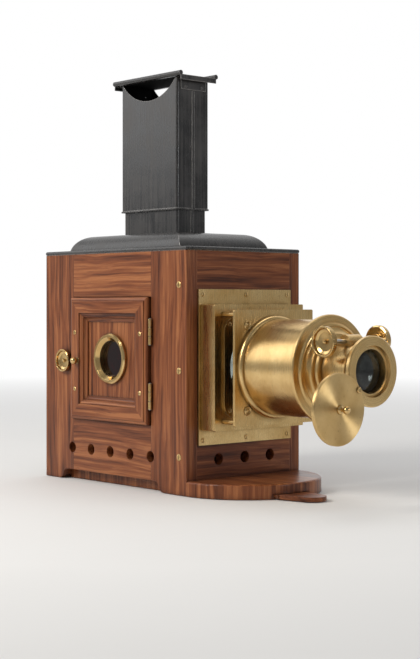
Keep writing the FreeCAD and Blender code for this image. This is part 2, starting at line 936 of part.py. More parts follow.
# Roof: a sheet-metal plate with a rolled edge, the hipped dome, the chimney
roof_bottom = d.body_height
roof_top = roof_bottom + d.sheet_metal
roof_hole_x = d.dome_length / 2 - d.dome_lip_end
roof_hole_y = d.dome_width / 2 - d.dome_lip_side
roof_sheet = padded("roof_sheet", "XY",
                    rounded(0.0, half_length, half_width, d.roof_bead),
                    roof_bottom, d.sheet_metal,
                    inner=[rounded(d.dome_middle, roof_hole_x, roof_hole_y, d.roof_bead)])
bead_x = half_length - d.roof_bead / 2
bead_y = half_width - d.roof_bead / 2
bead_z = roof_bottom + d.roof_bead
beads = [roof_sheet]
for side, sign in (("rear", -1), ("front", 1)):
    beads.append(rod(f"roof_bead_{side}", "Y", (bead_x * sign, -bead_y, bead_z),
                     bead_y * 2, d.roof_bead))
for side, sign in (("door", -1), ("off", 1)):
    beads.append(rod(f"roof_bead_{side}", "X", (-bead_x, bead_y * sign, bead_z),
                     bead_x * 2, d.roof_bead))
for corner, (sign_x, sign_y) in enumerate(((-1, -1), (1, -1), (1, 1), (-1, 1))):
    beads.append(ball(f"roof_bead_corner_{corner}",
                      (bead_x * sign_x, bead_y * sign_y, bead_z), d.roof_bead))
node("roof_plate", fuse("roof_plate_sheet", beads))


def hip(name, shrink):
    """The hipped form of the dome, drawn in by a wall thickness."""
    end = d.dome_length / 2 - shrink
    end_top = d.dome_top_length / 2 - shrink
    side = d.dome_width / 2 - shrink
    side_top = d.dome_top_width / 2 - shrink
    high = roof_top + d.dome_rise - shrink
    ends = padded(f"{name}_ends", "XZ", [
        (d.dome_middle - end, roof_top),
        (d.dome_middle + end, roof_top, d.dome_end_curve),
        (d.dome_middle + end_top, high),
        (d.dome_middle - end_top, high, d.dome_end_curve),
    ], -d.dome_width / 2, d.dome_width)
    sides = padded(f"{name}_sides", "YZ", [
        (-side, roof_top),
        (side, roof_top, d.dome_side_curve),
        (side_top, high),
        (-side_top, high, d.dome_side_curve),
    ], d.dome_middle - d.dome_length / 2, d.dome_length)
    return common(name, [ends, sides])


dome_top = roof_top + d.dome_rise
sleeve_bottom = dome_top + d.tube_show
sleeve_top = sleeve_bottom + d.sleeve_height
tube_top = sleeve_bottom + d.tube_overlap
sleeve_half_x = d.sleeve_length / 2
sleeve_half_y = d.sleeve_width / 2
tube_half_x = sleeve_half_x - d.tube_inset
tube_half_y = sleeve_half_y - d.tube_inset
flue_xs = (d.flue_middle - tube_half_x + d.sheet_metal, d.flue_middle + tube_half_x - d.sheet_metal)
flue_ys = (d.sheet_metal - tube_half_y, tube_half_y - d.sheet_metal)
flue_hole = box("flue_hole", flue_xs, flue_ys, (roof_top, dome_top + d.sheet_metal))
node("roof_dome", cut("dome", hip("dome_outer", 0.0), [hip("dome_inner", d.sheet_metal), flue_hole]))


def flue_ring(name, half_x, half_y, inner_x, inner_y, corner, low, height):
    """An upright tube of rounded rectangular section round the flue."""
    return padded(name, "XY", rounded(d.flue_middle, half_x, half_y, corner), low, height,
                  inner=[rounded(d.flue_middle, inner_x, inner_y, corner)])


sleeve_inner_x = sleeve_half_x - d.sheet_metal
sleeve_inner_y = sleeve_half_y - d.sheet_metal
tube_inner_x = tube_half_x - d.sheet_metal
tube_inner_y = tube_half_y - d.sheet_metal
tube_pieces = [
    flue_ring("tube_wall", tube_half_x, tube_half_y, tube_inner_x, tube_inner_y,
              d.tube_corner, dome_top, tube_top - dome_top),
    flue_ring("tube_foot_ring", tube_half_x + d.tube_foot, tube_half_y + d.tube_foot,
              tube_inner_x, tube_inner_y, d.tube_corner, dome_top, d.sheet_metal),
]
for name, low in (("low", sleeve_bottom + d.tube_bead), ("high", tube_top - d.tube_bead)):
    tube_pieces.append(flue_ring(f"tube_bead_{name}", sleeve_inner_x - d.slide_play,
                                 sleeve_inner_y - d.slide_play, tube_inner_x, tube_inner_y,
                                 d.tube_corner, low, d.tube_bead))


def seam(name, half_x, sign, low, high):
    """The folded upright seam in one end wall of a chimney tube."""
    near = d.flue_middle + half_x * sign
    far = near + d.seam_rise * sign
    xs = (near - d.sheet_metal / 2, far) if sign > 0 else (far, near + d.sheet_metal / 2)
    return box(name, xs, (-d.seam_width / 2, d.seam_width / 2), (low, high))


for name, sign in (("front", 1), ("rear", -1)):
    tube_pieces.append(seam(f"tube_seam_{name}", tube_half_x, sign, dome_top,
                            sleeve_bottom + d.tube_bead))
node("chimney_tube", fuse("tube", tube_pieces))

tab_low = sleeve_top - d.cap_tab_drop
sleeve_wall = flue_ring("sleeve_wall", sleeve_half_x, sleeve_half_y, sleeve_inner_x, sleeve_inner_y,
                        d.sleeve_corner, sleeve_bottom, sleeve_top - sleeve_bottom)
sleeve_rim = flue_ring("sleeve_rim", sleeve_half_x + d.seam_rise, sleeve_half_y + d.seam_rise,
                       sleeve_inner_x, sleeve_inner_y, d.sleeve_corner, sleeve_bottom,
                       d.seam_width / 2)
sleeve_seams = [
    seam(f"sleeve_seam_{name}", sleeve_half_x, sign, sleeve_bottom, tab_low - d.sheet_metal)
    for name, sign in (("front", 1), ("rear", -1))
]
scallop_half = sleeve_half_x - d.sleeve_corner
scallop_radius = (scallop_half * scallop_half + d.sleeve_scallop * d.sleeve_scallop) \
    / (d.sleeve_scallop * 2)
scallop = rod("scallop", "Y",
              (d.flue_middle, -sleeve_half_y * 2, sleeve_top - d.sleeve_scallop + scallop_radius),
              sleeve_half_y * 4, scallop_radius)
rivet_z = sleeve_top - d.rivet_drop
rivets, rivet_holes = [], []
for name, aim, sign in (("front", "X", 1), ("rear", "-X", -1)):
    face = d.flue_middle + (sleeve_half_x + d.sheet_metal) * sign
    for side in (-1, 1):
        spot = (face, d.rivet_pitch / 2 * side, rivet_z)
        label = f"rivet_{name}_{'door' if side < 0 else 'off'}"
        rivets.append(turned(label, aim, spot, [
            (-d.sheet_metal * 2, 0.0),
            (-d.sheet_metal * 2, d.rivet_radius / 2),
            (0.0, d.rivet_radius / 2),
            (0.0, d.rivet_radius),
            (d.rivet_radius * 0.5, d.rivet_radius * 0.75),
            (d.rivet_radius * 0.75, 0.0),
        ]))
        start = face - d.sheet_metal * 2 if sign > 0 else face
        rivet_holes.append(rod(f"{label}_hole", "X", (start, spot[1], rivet_z),
                               d.sheet_metal * 2, d.rivet_radius / 2))
node("chimney_rivets", group("rivet_set", rivets))
node("chimney_sleeve", cut("sleeve", fuse("sleeve_solid", [sleeve_wall, sleeve_rim] + sleeve_seams),
                           [scallop] + rivet_holes))
cap_half_x = sleeve_half_x + d.cap_overhang_end
cap_half_y = sleeve_half_y + d.cap_overhang_side
cap_pieces = [box("cap_sheet", (d.flue_middle - cap_half_x, d.flue_middle + cap_half_x),
                  (d.cap_roll - cap_half_y, cap_half_y - d.cap_roll),
                  (sleeve_top, sleeve_top + d.sheet_metal))]
for side, sign in (("door", -1), ("off", 1)):
    cap_pieces.append(rod(f"cap_roll_{side}", "X",
                          (d.flue_middle - cap_half_x, (cap_half_y - d.cap_roll) * sign,
                           sleeve_top + d.cap_roll),
                          cap_half_x * 2, d.cap_roll))
for side, end in (("front", d.flue_middle + cap_half_x),
                  ("rear", d.flue_middle - cap_half_x + d.sheet_metal)):
    cap_pieces.append(box(f"cap_lip_{side}", (end - d.sheet_metal, end),
                          (d.cap_roll - cap_half_y, cap_half_y - d.cap_roll),
                          (sleeve_top - d.cap_lip_drop, sleeve_top + d.sheet_metal)))
front_wall = d.flue_middle + sleeve_half_x
rear_wall = d.flue_middle - sleeve_half_x
for side, xs in (("front", (front_wall, front_wall + d.sheet_metal)),
                 ("rear", (rear_wall - d.sheet_metal, rear_wall))):
    cap_pieces.append(box(f"cap_tab_{side}", xs, (-d.cap_tab_width / 2, d.cap_tab_width / 2),
                          (tab_low, sleeve_top + d.sheet_metal)))
node("chimney_cap", cut("cap", fuse("cap_solid", cap_pieces), rivet_holes))

# Side door: mitred frame, inner moulding, panel with its round sight glass
def door_y(proud):
    """The Y of a plane that stands proud of the side of the lamp house."""
    return -half_width - proud


door_depth = d.door_proud + d.door_inside
mitre_reach = d.door_band + d.door_moulding
door_low, door_high = door_bottom, door_top
MEMBERS = {
    "rear": ("XY", 1, [
        (door_rear, door_low),
        (door_rear + mitre_reach, door_low + mitre_reach),
        (door_rear + mitre_reach, door_high - mitre_reach),
        (door_rear, door_high),
    ]),
    "front": ("XY", -1, [
        (door_front, door_low),
        (door_front, door_high),
        (door_front - mitre_reach, door_high - mitre_reach),
        (door_front - mitre_reach, door_low + mitre_reach),
    ]),
    "low": ("YZ", 1, [
        (door_rear, door_low),
        (door_front, door_low),
        (door_front - mitre_reach, door_low + mitre_reach),
        (door_rear + mitre_reach, door_low + mitre_reach),
    ]),
    "high": ("YZ", -1, [
        (door_rear, door_high),
        (door_rear + mitre_reach, door_high - mitre_reach),
        (door_front - mitre_reach, door_high - mitre_reach),
        (door_front, door_high),
    ]),
}


def mitred(name, profile):
    """Four lengths of one moulding, mitred at the corners of the door."""
    lengths = []
    for side, (plane, direction, plan) in MEMBERS.items():
        edge = {"rear": door_rear, "front": door_front, "low": door_low, "high": door_high}[side]
        turn = direction if plane == "YZ" else -direction
        corners = []
        for corner in profile:
            across, outward = edge + corner[0] * direction, door_y(corner[1])
            spot = (outward, across) if plane == "YZ" else (across, outward)
            corners.append(spot + ((corner[2] * turn,) if len(corner) > 2 else ()))
        start, end = (door_low, door_high) if plane == "XY" else (door_rear, door_front)
        length = padded(f"{name}_{side}", plane, corners, start, end - start)
        wedge = padded(f"{name}_{side}_mitre", "XZ", plan, half_width - d.door_inside, door_depth)
        lengths.append(common(f"{name}_{side}_cut", [length, wedge]))
    return group(name, lengths)


bead_top = d.door_proud - d.door_quirk
frame = mitred("door_band_set", [
    (0.0, -d.door_inside),
    (d.door_band, -d.door_inside),
    (d.door_band, d.door_proud),
    (d.door_bead + d.door_quirk, d.door_proud),
    (d.door_bead + d.door_quirk, bead_top),
    (d.door_bead, bead_top, d.door_bead),
    (0.0, bead_top - d.door_bead),
])
moulding_half = d.door_band + d.door_moulding / 2
door_spots = [
    (x, door_y(d.door_proud), z)
    for x in (door_rear + d.door_screw_inset, door_front - d.door_screw_inset)
    for z in (door_screw_low, door_screw_high)
]
node("door_screws", group("door_screw_set", [
    screw(f"door_screw_{i}", "-Y", spot, d.screw_small, d.screw_bite)
    for i, spot in enumerate(door_spots)
]))
node("door_frame", cut("door_frame_cut", frame, [
    screw_hole(f"door_screw_hole_{i}", "-Y", spot, d.screw_bite)
    for i, spot in enumerate(door_spots)
]))
node("door_moulding", mitred("door_moulding_set", [
    (d.door_band, d.panel_front),
    (mitre_reach, d.panel_front),
    (mitre_reach, d.panel_front + 1.3, -4.0),
    (moulding_half, d.moulding_rise - 2.6),
    (moulding_half, d.moulding_rise - 1.8),
    (moulding_half - 1.5, d.moulding_rise - 1.8, 4.0),
    (d.door_band, d.moulding_rise),
]))
panel = box("door_panel_board", (door_rear + d.door_band, door_front - d.door_band),
            (door_y(d.panel_front), door_y(d.panel_back)),
            (door_low + d.door_band, door_high - d.door_band))
panel_hole = rod("sight_hole", "Y", (sight_middle, door_y(d.panel_front), sight_height),
                 d.panel_front - d.panel_back, d.sight_glass)
node("door_panel", cut("door_panel_cut", panel, [panel_hole]))

sight_spot = (sight_middle, door_y(d.panel_front), sight_height)
bezel_tail = d.panel_back - d.panel_front + d.glass_thickness
node("sight_bezel", milled(turned("bezel", "-Y", sight_spot, [
    (bezel_tail, d.sight_hole),
    (bezel_tail, d.sight_glass),
    (0.0, d.sight_glass),
    (0.0, d.sight_outer),
    (d.sight_rise - 1.6, d.sight_outer),
    (d.sight_rise, d.sight_outer - 1.8),
    (d.sight_rise, d.sight_hole + 4.0),
    (1.2, d.sight_hole),
]), d.sight_outer, 60, 0.45))
node("sight_glass", turned("glass", "-Y", sight_spot, [
    (bezel_tail - d.glass_thickness, 0.0),
    (bezel_tail - d.glass_thickness, d.sight_glass),
    (bezel_tail, d.sight_glass),
    (bezel_tail, 0.0),
]))
# A ball on a stem of this share of its radius reaches this many radii past the stem
STEM = 0.35
BALL_REACH = 1.0 + math.sqrt(1.0 - STEM * STEM)
node("door_pull", turned("pull", "-Y",
                         (door_rear + d.pull_inset, door_y(d.door_proud), pull_height), [
    (0.0, 0.0),
    (0.0, d.pull_ball * 0.9),
    (d.pull_neck * 0.25, d.pull_ball * 0.85),
    (d.pull_neck * 0.4, d.pull_ball * 0.42),
    (d.pull_neck, d.pull_ball * STEM, -d.pull_ball),
    (d.pull_neck + d.pull_ball * BALL_REACH, 0.0),
]))

# Butt hinges of the door, knuckles outside at its front edge
third = d.hinge_height / 6
body_leaves, door_leaves, pins = [], [], []
for i, level in enumerate(hinge_levels):
    low, high = level - d.hinge_height / 2, level + d.hinge_height / 2
    below = (low, level - third - d.knuckle_gap)
    above = (level + third + d.knuckle_gap, high)
    middle = (level - third, level + third)
    bore = rod(f"hinge_bore_{i}", "Z", (hinge_x, hinge_y, low), d.hinge_height,
               d.hinge_pin + d.shaft_play)
    fixed = [box(f"body_leaf_{i}", (opening_front, opening_front + d.leaf),
                 (-half_width, d.leaf_depth - half_width), (low, high))]
    for name, zs in (("low", below), ("high", above)):
        fixed.append(box(f"body_leaf_{name}_{i}", (opening_front, opening_front + d.leaf),
                         (hinge_y, -half_width), zs))
        fixed.append(rod(f"body_knuckle_{name}_{i}", "Z", (hinge_x, hinge_y, zs[0]),
                         zs[1] - zs[0], d.knuckle))
    body_leaves.append(cut(f"body_hinge_{i}", fuse(f"body_hinge_solid_{i}", fixed), [bore]))
    leaf_xs = (door_front, door_front + d.leaf)
    moving = [
        box(f"door_leaf_{i}", leaf_xs, (-half_width, 1.0 - half_width + d.leaf_depth / 2), (low, high)),
        box(f"door_leaf_arm_{i}", leaf_xs, (hinge_y - d.leaf / 2, -half_width), middle),
        box(f"door_leaf_strap_{i}", (door_front, hinge_x),
            (hinge_y - d.leaf / 2, hinge_y + d.leaf / 2), middle),
        rod(f"door_knuckle_{i}", "Z", (hinge_x, hinge_y, middle[0]), third * 2, d.knuckle),
    ]
    door_leaves.append(cut(f"door_hinge_{i}", fuse(f"door_hinge_solid_{i}", moving), [bore]))
    head = d.hinge_pin * 1.7
    pins.append(turned(f"hinge_pin_{i}", "Z", (hinge_x, hinge_y, low), [
        (-d.hinge_pin, 0.0),
        (-d.hinge_pin, head * 0.6),
        (-d.hinge_pin / 2, head),
        (0.0, head),
        (0.0, d.hinge_pin),
        (d.hinge_height, d.hinge_pin),
        (d.hinge_height, head),
        (d.hinge_height + d.hinge_pin / 2, head),
        (d.hinge_height + d.hinge_pin, head * 0.6),
        (d.hinge_height + d.hinge_pin, 0.0),
    ]))
node("body_hinge_leaves", group("body_leaf_pair", body_leaves))
node("door_hinge_leaves", group("door_leaf_pair", door_leaves))
node("hinge_pins", group("pin_pair", pins))

# Turning catch on the rear stile, its bar inside, and the keeper on the door
catch_spot = (catch_x, -half_width - d.slide_play, catch_height)
bar_out = d.slide_play - inner_width
bar_in = bar_out + d.catch_bar_thickness
shaft_end = -half_width - d.slide_play - bar_in - 1.0
catch_body = turned("catch", "-Y", catch_spot,
                    hollow_knob(d.catch_knob, d.catch_depth, d.catch_shaft, -shaft_end))
node("catch_knob", milled(catch_body, d.catch_knob, 44, 0.5))
bar = box("catch_bar_plate", (catch_x - d.catch_bar_half, catch_x + d.catch_bar_half),
          (bar_out, bar_in), (catch_height - d.catch_bar_half, catch_height + d.catch_reach))
bar_hole = rod("catch_bar_hole", "Y", (catch_x, bar_out, catch_height),
               d.catch_bar_thickness, d.catch_shaft)
node("catch_bar", cut("catch_bar_cut", bar, [bar_hole]))
keeper_zs = (catch_height - d.keeper_half_height, catch_height + d.keeper_half_height)
door_back = d.door_inside - half_width
keeper_front = door_rear + d.door_band
node("door_keeper", fuse("keeper", [
    box("keeper_foot", (keeper_front - d.keeper_sheet * 3, keeper_front),
        (door_back, door_back + d.keeper_sheet), keeper_zs),
    box("keeper_leg", (keeper_front - d.keeper_sheet, keeper_front),
        (door_back, door_back + d.keeper_depth), keeper_zs),
    box("keeper_lip", (keeper_front - d.keeper_lip, keeper_front),
        (door_back + d.keeper_depth - d.keeper_sheet, door_back + d.keeper_depth), keeper_zs),
]))

# Front plate, slide stage and condenser
def on_axis(x):
    """A point of the lens axis."""
    return (x, 0.0, d.lens_height)


def plate(name, half_y, half_z, corner, start, depth, hole):
    """A plate across the lens axis with a round hole for the light."""
    return padded(name, "YZ", rounded(0.0, half_y, half_z, corner, d.lens_height), start, depth,
                  holes=[(0.0, d.lens_height, hole)])


cell_radius = d.condenser_radius + d.cell_wall
front_sheet = padded("front_sheet", "YZ", [
    (-d.plate_half_width, plate_bottom),
    (d.plate_half_width, plate_bottom),
    (d.plate_half_width, plate_top),
    (-d.plate_half_width, plate_top),
], half_length, d.plate_thickness, holes=[(0.0, d.lens_height, cell_radius)])
node("front_plate", cut("front_plate_cut", front_sheet, plate_holes))

flange_front = stage_front + d.flange_thickness
lens_plate_front = lens_plate_back + d.lens_plate_thickness
flange_bite = d.flange_thickness + d.stage_wall
stage_screws, flange_holes, lens_holes = [], [], []
for i, (side, up) in enumerate(((-1, -1), (1, -1), (1, 1), (-1, 1))):
    spot = (flange_front, flange_screw_y * side, d.lens_height + flange_screw_z * up)
    stage_screws.append(screw(f"flange_screw_{i}", "X", spot, d.screw_small, flange_bite))
    flange_holes.append(screw_hole(f"flange_screw_hole_{i}", "X", spot, flange_bite))
    spot = (lens_plate_front, lens_screw_y * side, d.lens_height + lens_screw_z * up)
    stage_screws.append(cup_screw(f"lens_screw_{i}", "X", spot, d.lens_plate_thickness))
    lens_holes.append(screw_hole(f"lens_screw_hole_{i}", "X", spot, d.lens_plate_thickness))
node("stage_screws", group("stage_screw_set", stage_screws))

stage_inner_y = d.stage_half_width - d.stage_wall
stage_inner_z = d.stage_half_height - d.stage_wall
stage_hollow = box("stage_hollow", (plate_front, stage_front - d.stage_wall),
                   (-stage_inner_y, stage_inner_y),
                   (d.lens_height - stage_inner_z, d.lens_height + stage_inner_z))
stage_solid = plate("stage_solid", d.stage_half_width, d.stage_half_height, d.stage_wall / 2,
                    plate_front, stage_front - plate_front, cell_radius)
node("stage_block", cut("stage_box", stage_solid, [stage_hollow] + flange_holes))
flange = plate("flange_sheet", d.flange_half_width, d.flange_half_height, d.flange_corner,
               stage_front, d.flange_thickness, flange_hole)
node("condenser_flange", cut("condenser_flange_cut", flange, flange_holes))
cell_length = stage_front - cell_back
node("condenser_cell", turned("cell", "X", on_axis(cell_back), [
    (0.0, d.condenser_radius - d.cell_lip),
    (0.0, cell_radius),
    (cell_length, cell_radius),
    (cell_length, d.condenser_radius),
    (d.cell_wall, d.condenser_radius),
    (d.cell_wall, d.condenser_radius - d.cell_lip),
]))
condenser_curve = (d.condenser_radius * d.condenser_radius + d.condenser_bulge * d.condenser_bulge) \
    / (d.condenser_bulge * 2)
condensers = [
    turned(f"condenser_{label}", aim, on_axis(start), [
        (0.0, 0.0),
        (0.0, d.condenser_radius),
        (d.condenser_edge, d.condenser_radius, -condenser_curve),
        (d.condenser_edge + d.condenser_bulge, 0.0),
    ])
    for label, aim, start in (("rear", "X", cell_back + d.cell_wall),
                              ("front", "-X", stage_front))
]
node("condenser_lenses", group("condenser_pair", condensers))
node("stage_pillars", group("pillar_set", [
    rod(f"pillar_{i}", "X",
        (stage_front, pillar_y * side, d.lens_height + pillar_z * up),
        lens_plate_back - stage_front, d.pillar_radius)
    for i, (side, up) in enumerate(((-1, -1), (1, -1), (1, 1), (-1, 1)))
]))
barrel_bore = d.barrel_radius - d.barrel_wall
lens_sheet = plate("lens_sheet", d.lens_plate_half_width, d.lens_plate_half_height,
                   d.lens_plate_thickness / 2, lens_plate_back, d.lens_plate_thickness, barrel_bore)
node("lens_plate", cut("lens_plate_cut", lens_sheet, lens_holes))

# Barrel, moulded nose, and the jacket that carries the focusing tube
barrel_length = barrel_front - lens_plate_front
node("barrel", turned("barrel_tube", "X", on_axis(lens_plate_front), [
    (0.0, barrel_bore),
    (0.0, d.barrel_radius),
    (barrel_length, d.barrel_radius),
    (barrel_length, barrel_bore),
]))
bead = barrel_flange - d.barrel_radius
node("barrel_flange", turned("barrel_ring", "X", on_axis(lens_plate_front), [
    (0.0, d.barrel_radius),
    (0.0, barrel_flange),
    (d.barrel_flange_depth - bead, barrel_flange, -bead),
    (d.barrel_flange_depth, d.barrel_radius),
]))
nose_depth = nose_front - barrel_front
rim_out = nose_radius
step = (nose_radius - jacket_radius) / 16
node("nose_flange", turned("nose", "X", on_axis(barrel_front), [
    (0.0, barrel_bore - step),
    (0.0, rim_out - step * 0.5),
    (d.nose_rim * 0.25, rim_out),
    (d.nose_rim * 0.75, rim_out),
    (d.nose_rim, rim_out - step * 0.5),
    (d.nose_rim, rim_out - step * 4.2),
    (d.nose_rim + step * 0.4, rim_out - step * 4.6, -step * 1.6),
    (d.nose_rim + step * 1.4, rim_out - step * 6.0),
    (d.nose_rim + step * 1.4, rim_out - step * 6.6, step * 4.0),
    (d.nose_rim + step * 3.4, rim_out - step * 10.6),
    (d.nose_rim + step * 4.2, rim_out - step * 10.6),
    (d.nose_rim + step * 4.4, rim_out - step * 12.6),
    (nose_depth - step * 0.4, rim_out - step * 13.2),
    (nose_depth, rim_out - step * 14.0),
    (nose_depth, jacket_radius),
    (nose_depth - d.nose_seat, jacket_radius),
]))
jacket_length = jacket_front - jacket_back
jacket_bore = d.draw_radius + d.draw_play
jacket_tube = turned("jacket_tube", "X", on_axis(jacket_back), [
    (0.0, jacket_bore),
    (0.0, jacket_radius),
    (jacket_length - step * 2, jacket_radius),
    (jacket_length - step * 1.8, jacket_radius + step * 0.8),
    (jacket_length - step * 0.2, jacket_radius + step * 0.8),
    (jacket_length, jacket_radius + step * 0.6),
    (jacket_length, jacket_bore),
])
slot_half = d.rack_width / 2 + 0.5
rack_slot = box("rack_slot", (jacket_back, jacket_front), (-slot_half, slot_half),
                (d.lens_height + d.draw_radius / 2, d.lens_height + jacket_radius + step * 2))
node("objective_jacket", cut("jacket", jacket_tube, [rack_slot]))

# Rack and pinion focusing
gear_pitch_radius = d.gear_module * d.gear_teeth / 2
pinion_z = d.lens_height + rack_pitch_line + gear_pitch_radius
shaft_bore = d.pinion_shaft + d.shaft_play
cheek = d.bracket_half_width
gear_room = d.gear_width / 2 + 0.7
saddle = fuse("saddle", [
    box("saddle_base", (pinion_x - d.bracket_length / 2, pinion_x + d.bracket_length / 2),
        (-cheek, cheek), (d.lens_height + d.draw_radius, pinion_z - d.pinion_shaft / 2)),
    rod("saddle_back", "Y", (pinion_x, -cheek, pinion_z), cheek * 2, d.bracket_length / 3),
])
node("pinion_bracket", cut("bracket", saddle, [
    rod("bracket_seat", "X", on_axis(jacket_back), jacket_length, jacket_radius),
    rod("bracket_bore", "Y", (pinion_x, -cheek, pinion_z), cheek * 2, shaft_bore),
    rod("bracket_room", "Y", (pinion_x, -gear_room, pinion_z), gear_room * 2,
        gear_pitch_radius + d.gear_module * 1.6),
]))


def involute(radius, base):
    """The angle an involute has turned through at a radius."""
    press = math.acos(base / radius)
    return math.tan(press) - press


def gear_outline(module, teeth, backlash):
    """The outline of a spur gear with one tooth pointing straight down."""
    pitch = module * teeth / 2
    base = pitch * math.cos(math.radians(20))
    tip, root = pitch + module, pitch - module * 1.05
    half = math.pi / (2 * teeth) - backlash / (2 * pitch) + involute(pitch, base)
    radii = [base + (tip - base) * k / 4 for k in range(5)]
    flank = [(root, half)] + [(r, half - involute(r, base)) for r in radii]
    outline = []
    for tooth in range(int(teeth)):
        middle = -math.pi / 2 + 2 * math.pi * tooth / teeth
        outline += [(r, middle - a) for r, a in flank]
        outline += [(r, middle + a) for r, a in reversed(flank)]
    return [Vector(r * math.cos(a), 0, r * math.sin(a)) for r, a in outline]


gear = document.addObject("Part::Feature", "gear")
teeth_points = gear_outline(float(d.gear_module), float(d.gear_teeth), float(d.gear_backlash))
gear_face = Part.Face(Part.makePolygon(teeth_points + teeth_points[:1]))
gear.Shape = gear_face.extrude(Vector(0, float(d.gear_width), 0))
place(gear, (pinion_x, -d.gear_width / 2, pinion_z))
shaft = rod("pinion_rod", "Y", (pinion_x, -d.knob_inner, pinion_z), d.knob_inner * 2, d.pinion_shaft)
node("focus_pinion", fuse("pinion", [gear, shaft]))
knob_outline = hollow_knob(d.knob_radius, d.knob_thickness, d.pinion_shaft, 0.0)[2:]
knob_outline = [(0.0, 0.0)] + knob_outline[1:]
node("focus_knobs", group("focus_knob_pair", [
    milled(turned("door_side_knob", "-Y", (pinion_x, -d.knob_inner, pinion_z), knob_outline),
           d.knob_radius, 44, 0.5),
    milled(turned("off_side_knob", "Y", (pinion_x, d.knob_inner, pinion_z), knob_outline),
           d.knob_radius, 44, 0.5),
]))

tooth_pitch = d.gear_module * math.pi
rack_top = rack_pitch_line + d.rack_addendum
rack_root = rack_pitch_line - d.rack_dedendum
slope = math.tan(math.radians(20))
gap_half = tooth_pitch / 4 + d.gear_backlash / 2
back_gaps = int((float(pinion_x) - float(rack_back)) / float(tooth_pitch))
front_gaps = int((float(rack_front) - float(pinion_x)) / float(tooth_pitch))
rack_bar = padded("rack_bar", "XZ", [
    (rack_back, d.lens_height + d.draw_radius - 1.0),
    (rack_front, d.lens_height + d.draw_radius - 1.0),
    (rack_front, d.lens_height + rack_top),
    (rack_back, d.lens_height + rack_top),
], -d.rack_width / 2, d.rack_width)
first_gap = pinion_x - tooth_pitch * back_gaps
gap_sketch = sketch_on(rack_bar, "rack_gap", "XZ")
wide = gap_half + (d.rack_addendum + 0.2) * slope
narrow = gap_half - d.rack_dedendum * slope
draw(gap_sketch, [
    (first_gap - wide, d.lens_height + rack_top + 0.2),
    (first_gap - narrow, d.lens_height + rack_root),
    (first_gap + narrow, d.lens_height + rack_root),
    (first_gap + wide, d.lens_height + rack_top + 0.2),
])
gap = rack_bar.newObject("PartDesign::Pocket", "rack_gap_cut")
gap.Profile = gap_sketch
gap.Type = "ThroughAll"
gap.Midplane = True
gap_row = rack_bar.newObject("PartDesign::LinearPattern", "rack_gaps")
gap_row.Originals = [gap]
gap_row.Direction = ([f for f in rack_bar.Origin.OriginFeatures if f.Role == "X_Axis"][0], [""])
gap_row.Occurrences = back_gaps + front_gaps + 1
bind(gap_row, "Length", tooth_pitch * (back_gaps + front_gaps))
rack_bar.Tip = gap_row
gap_sketch.Visibility = False
rack_seat = rod("rack_seat", "X", on_axis(draw_back), jacket_front - draw_back, d.draw_radius)
node("focus_rack", cut("rack", rack_bar, [rack_seat]))

# Focusing tube with its lenses and hood
hood_back = hood_front - d.hood_depth
tube_front = hood_front - d.hood_rim + 0.5
draw_length = tube_front - draw_back
node("objective_tube", turned("draw_tube", "X", on_axis(draw_back), [
    (0.0, draw_bore),
    (0.0, d.draw_radius),
    (draw_length, d.draw_radius),
    (draw_length, draw_bore),
]))
rim_start = d.hood_depth - d.hood_rim - 0.5
hood = turned("hood", "X", on_axis(hood_back), [
    (0.0, d.draw_radius),
    (0.0, d.draw_radius + 3.0),
    (rim_start * 0.5, d.draw_radius + 4.5),
    (rim_start, d.hood_radius - 2.0),
    (rim_start, d.hood_radius - 1.0),
    (rim_start + 1.0, d.hood_radius),
    (d.hood_depth - 1.2, d.hood_radius),
    (d.hood_depth, d.hood_radius - 1.2),
    (d.hood_depth, hood_mouth),
    (d.hood_depth - d.hood_rim + 1.5, d.draw_radius + 0.3),
    (d.hood_depth - d.hood_rim + 1.5, draw_bore),
    (d.hood_depth - d.hood_rim + 0.5, draw_bore),
    (d.hood_depth - d.hood_rim + 0.5, d.draw_radius),
])
pivot_y = flap_pivot_y
pivot_z = d.lens_height + flap_pivot_z
pivot_bite = d.hood_rim - 0.5
pivot_hole = rod("pivot_hole", "X", (hood_front - pivot_bite, pivot_y, pivot_z),
                 pivot_bite, d.pivot_radius)
node("objective_hood", cut("hood_cut", hood, [pivot_hole]))
tube_curve = (draw_bore * draw_bore + d.tube_lens_bulge * d.tube_lens_bulge) / (d.tube_lens_bulge * 2)
lens_depth = d.tube_lens_edge + d.tube_lens_bulge * 2
node("objective_lenses", group("objective_lens_pair", [
    turned(f"objective_glass_{i}", "X", on_axis(start), [
        (0.0, 0.0, -tube_curve),
        (d.tube_lens_bulge, draw_bore),
        (d.tube_lens_bulge + d.tube_lens_edge, draw_bore, -tube_curve),
        (lens_depth, 0.0),
    ])
    for i, start in enumerate((draw_back + d.tube_lens_bulge, lens_front - lens_depth))
]))

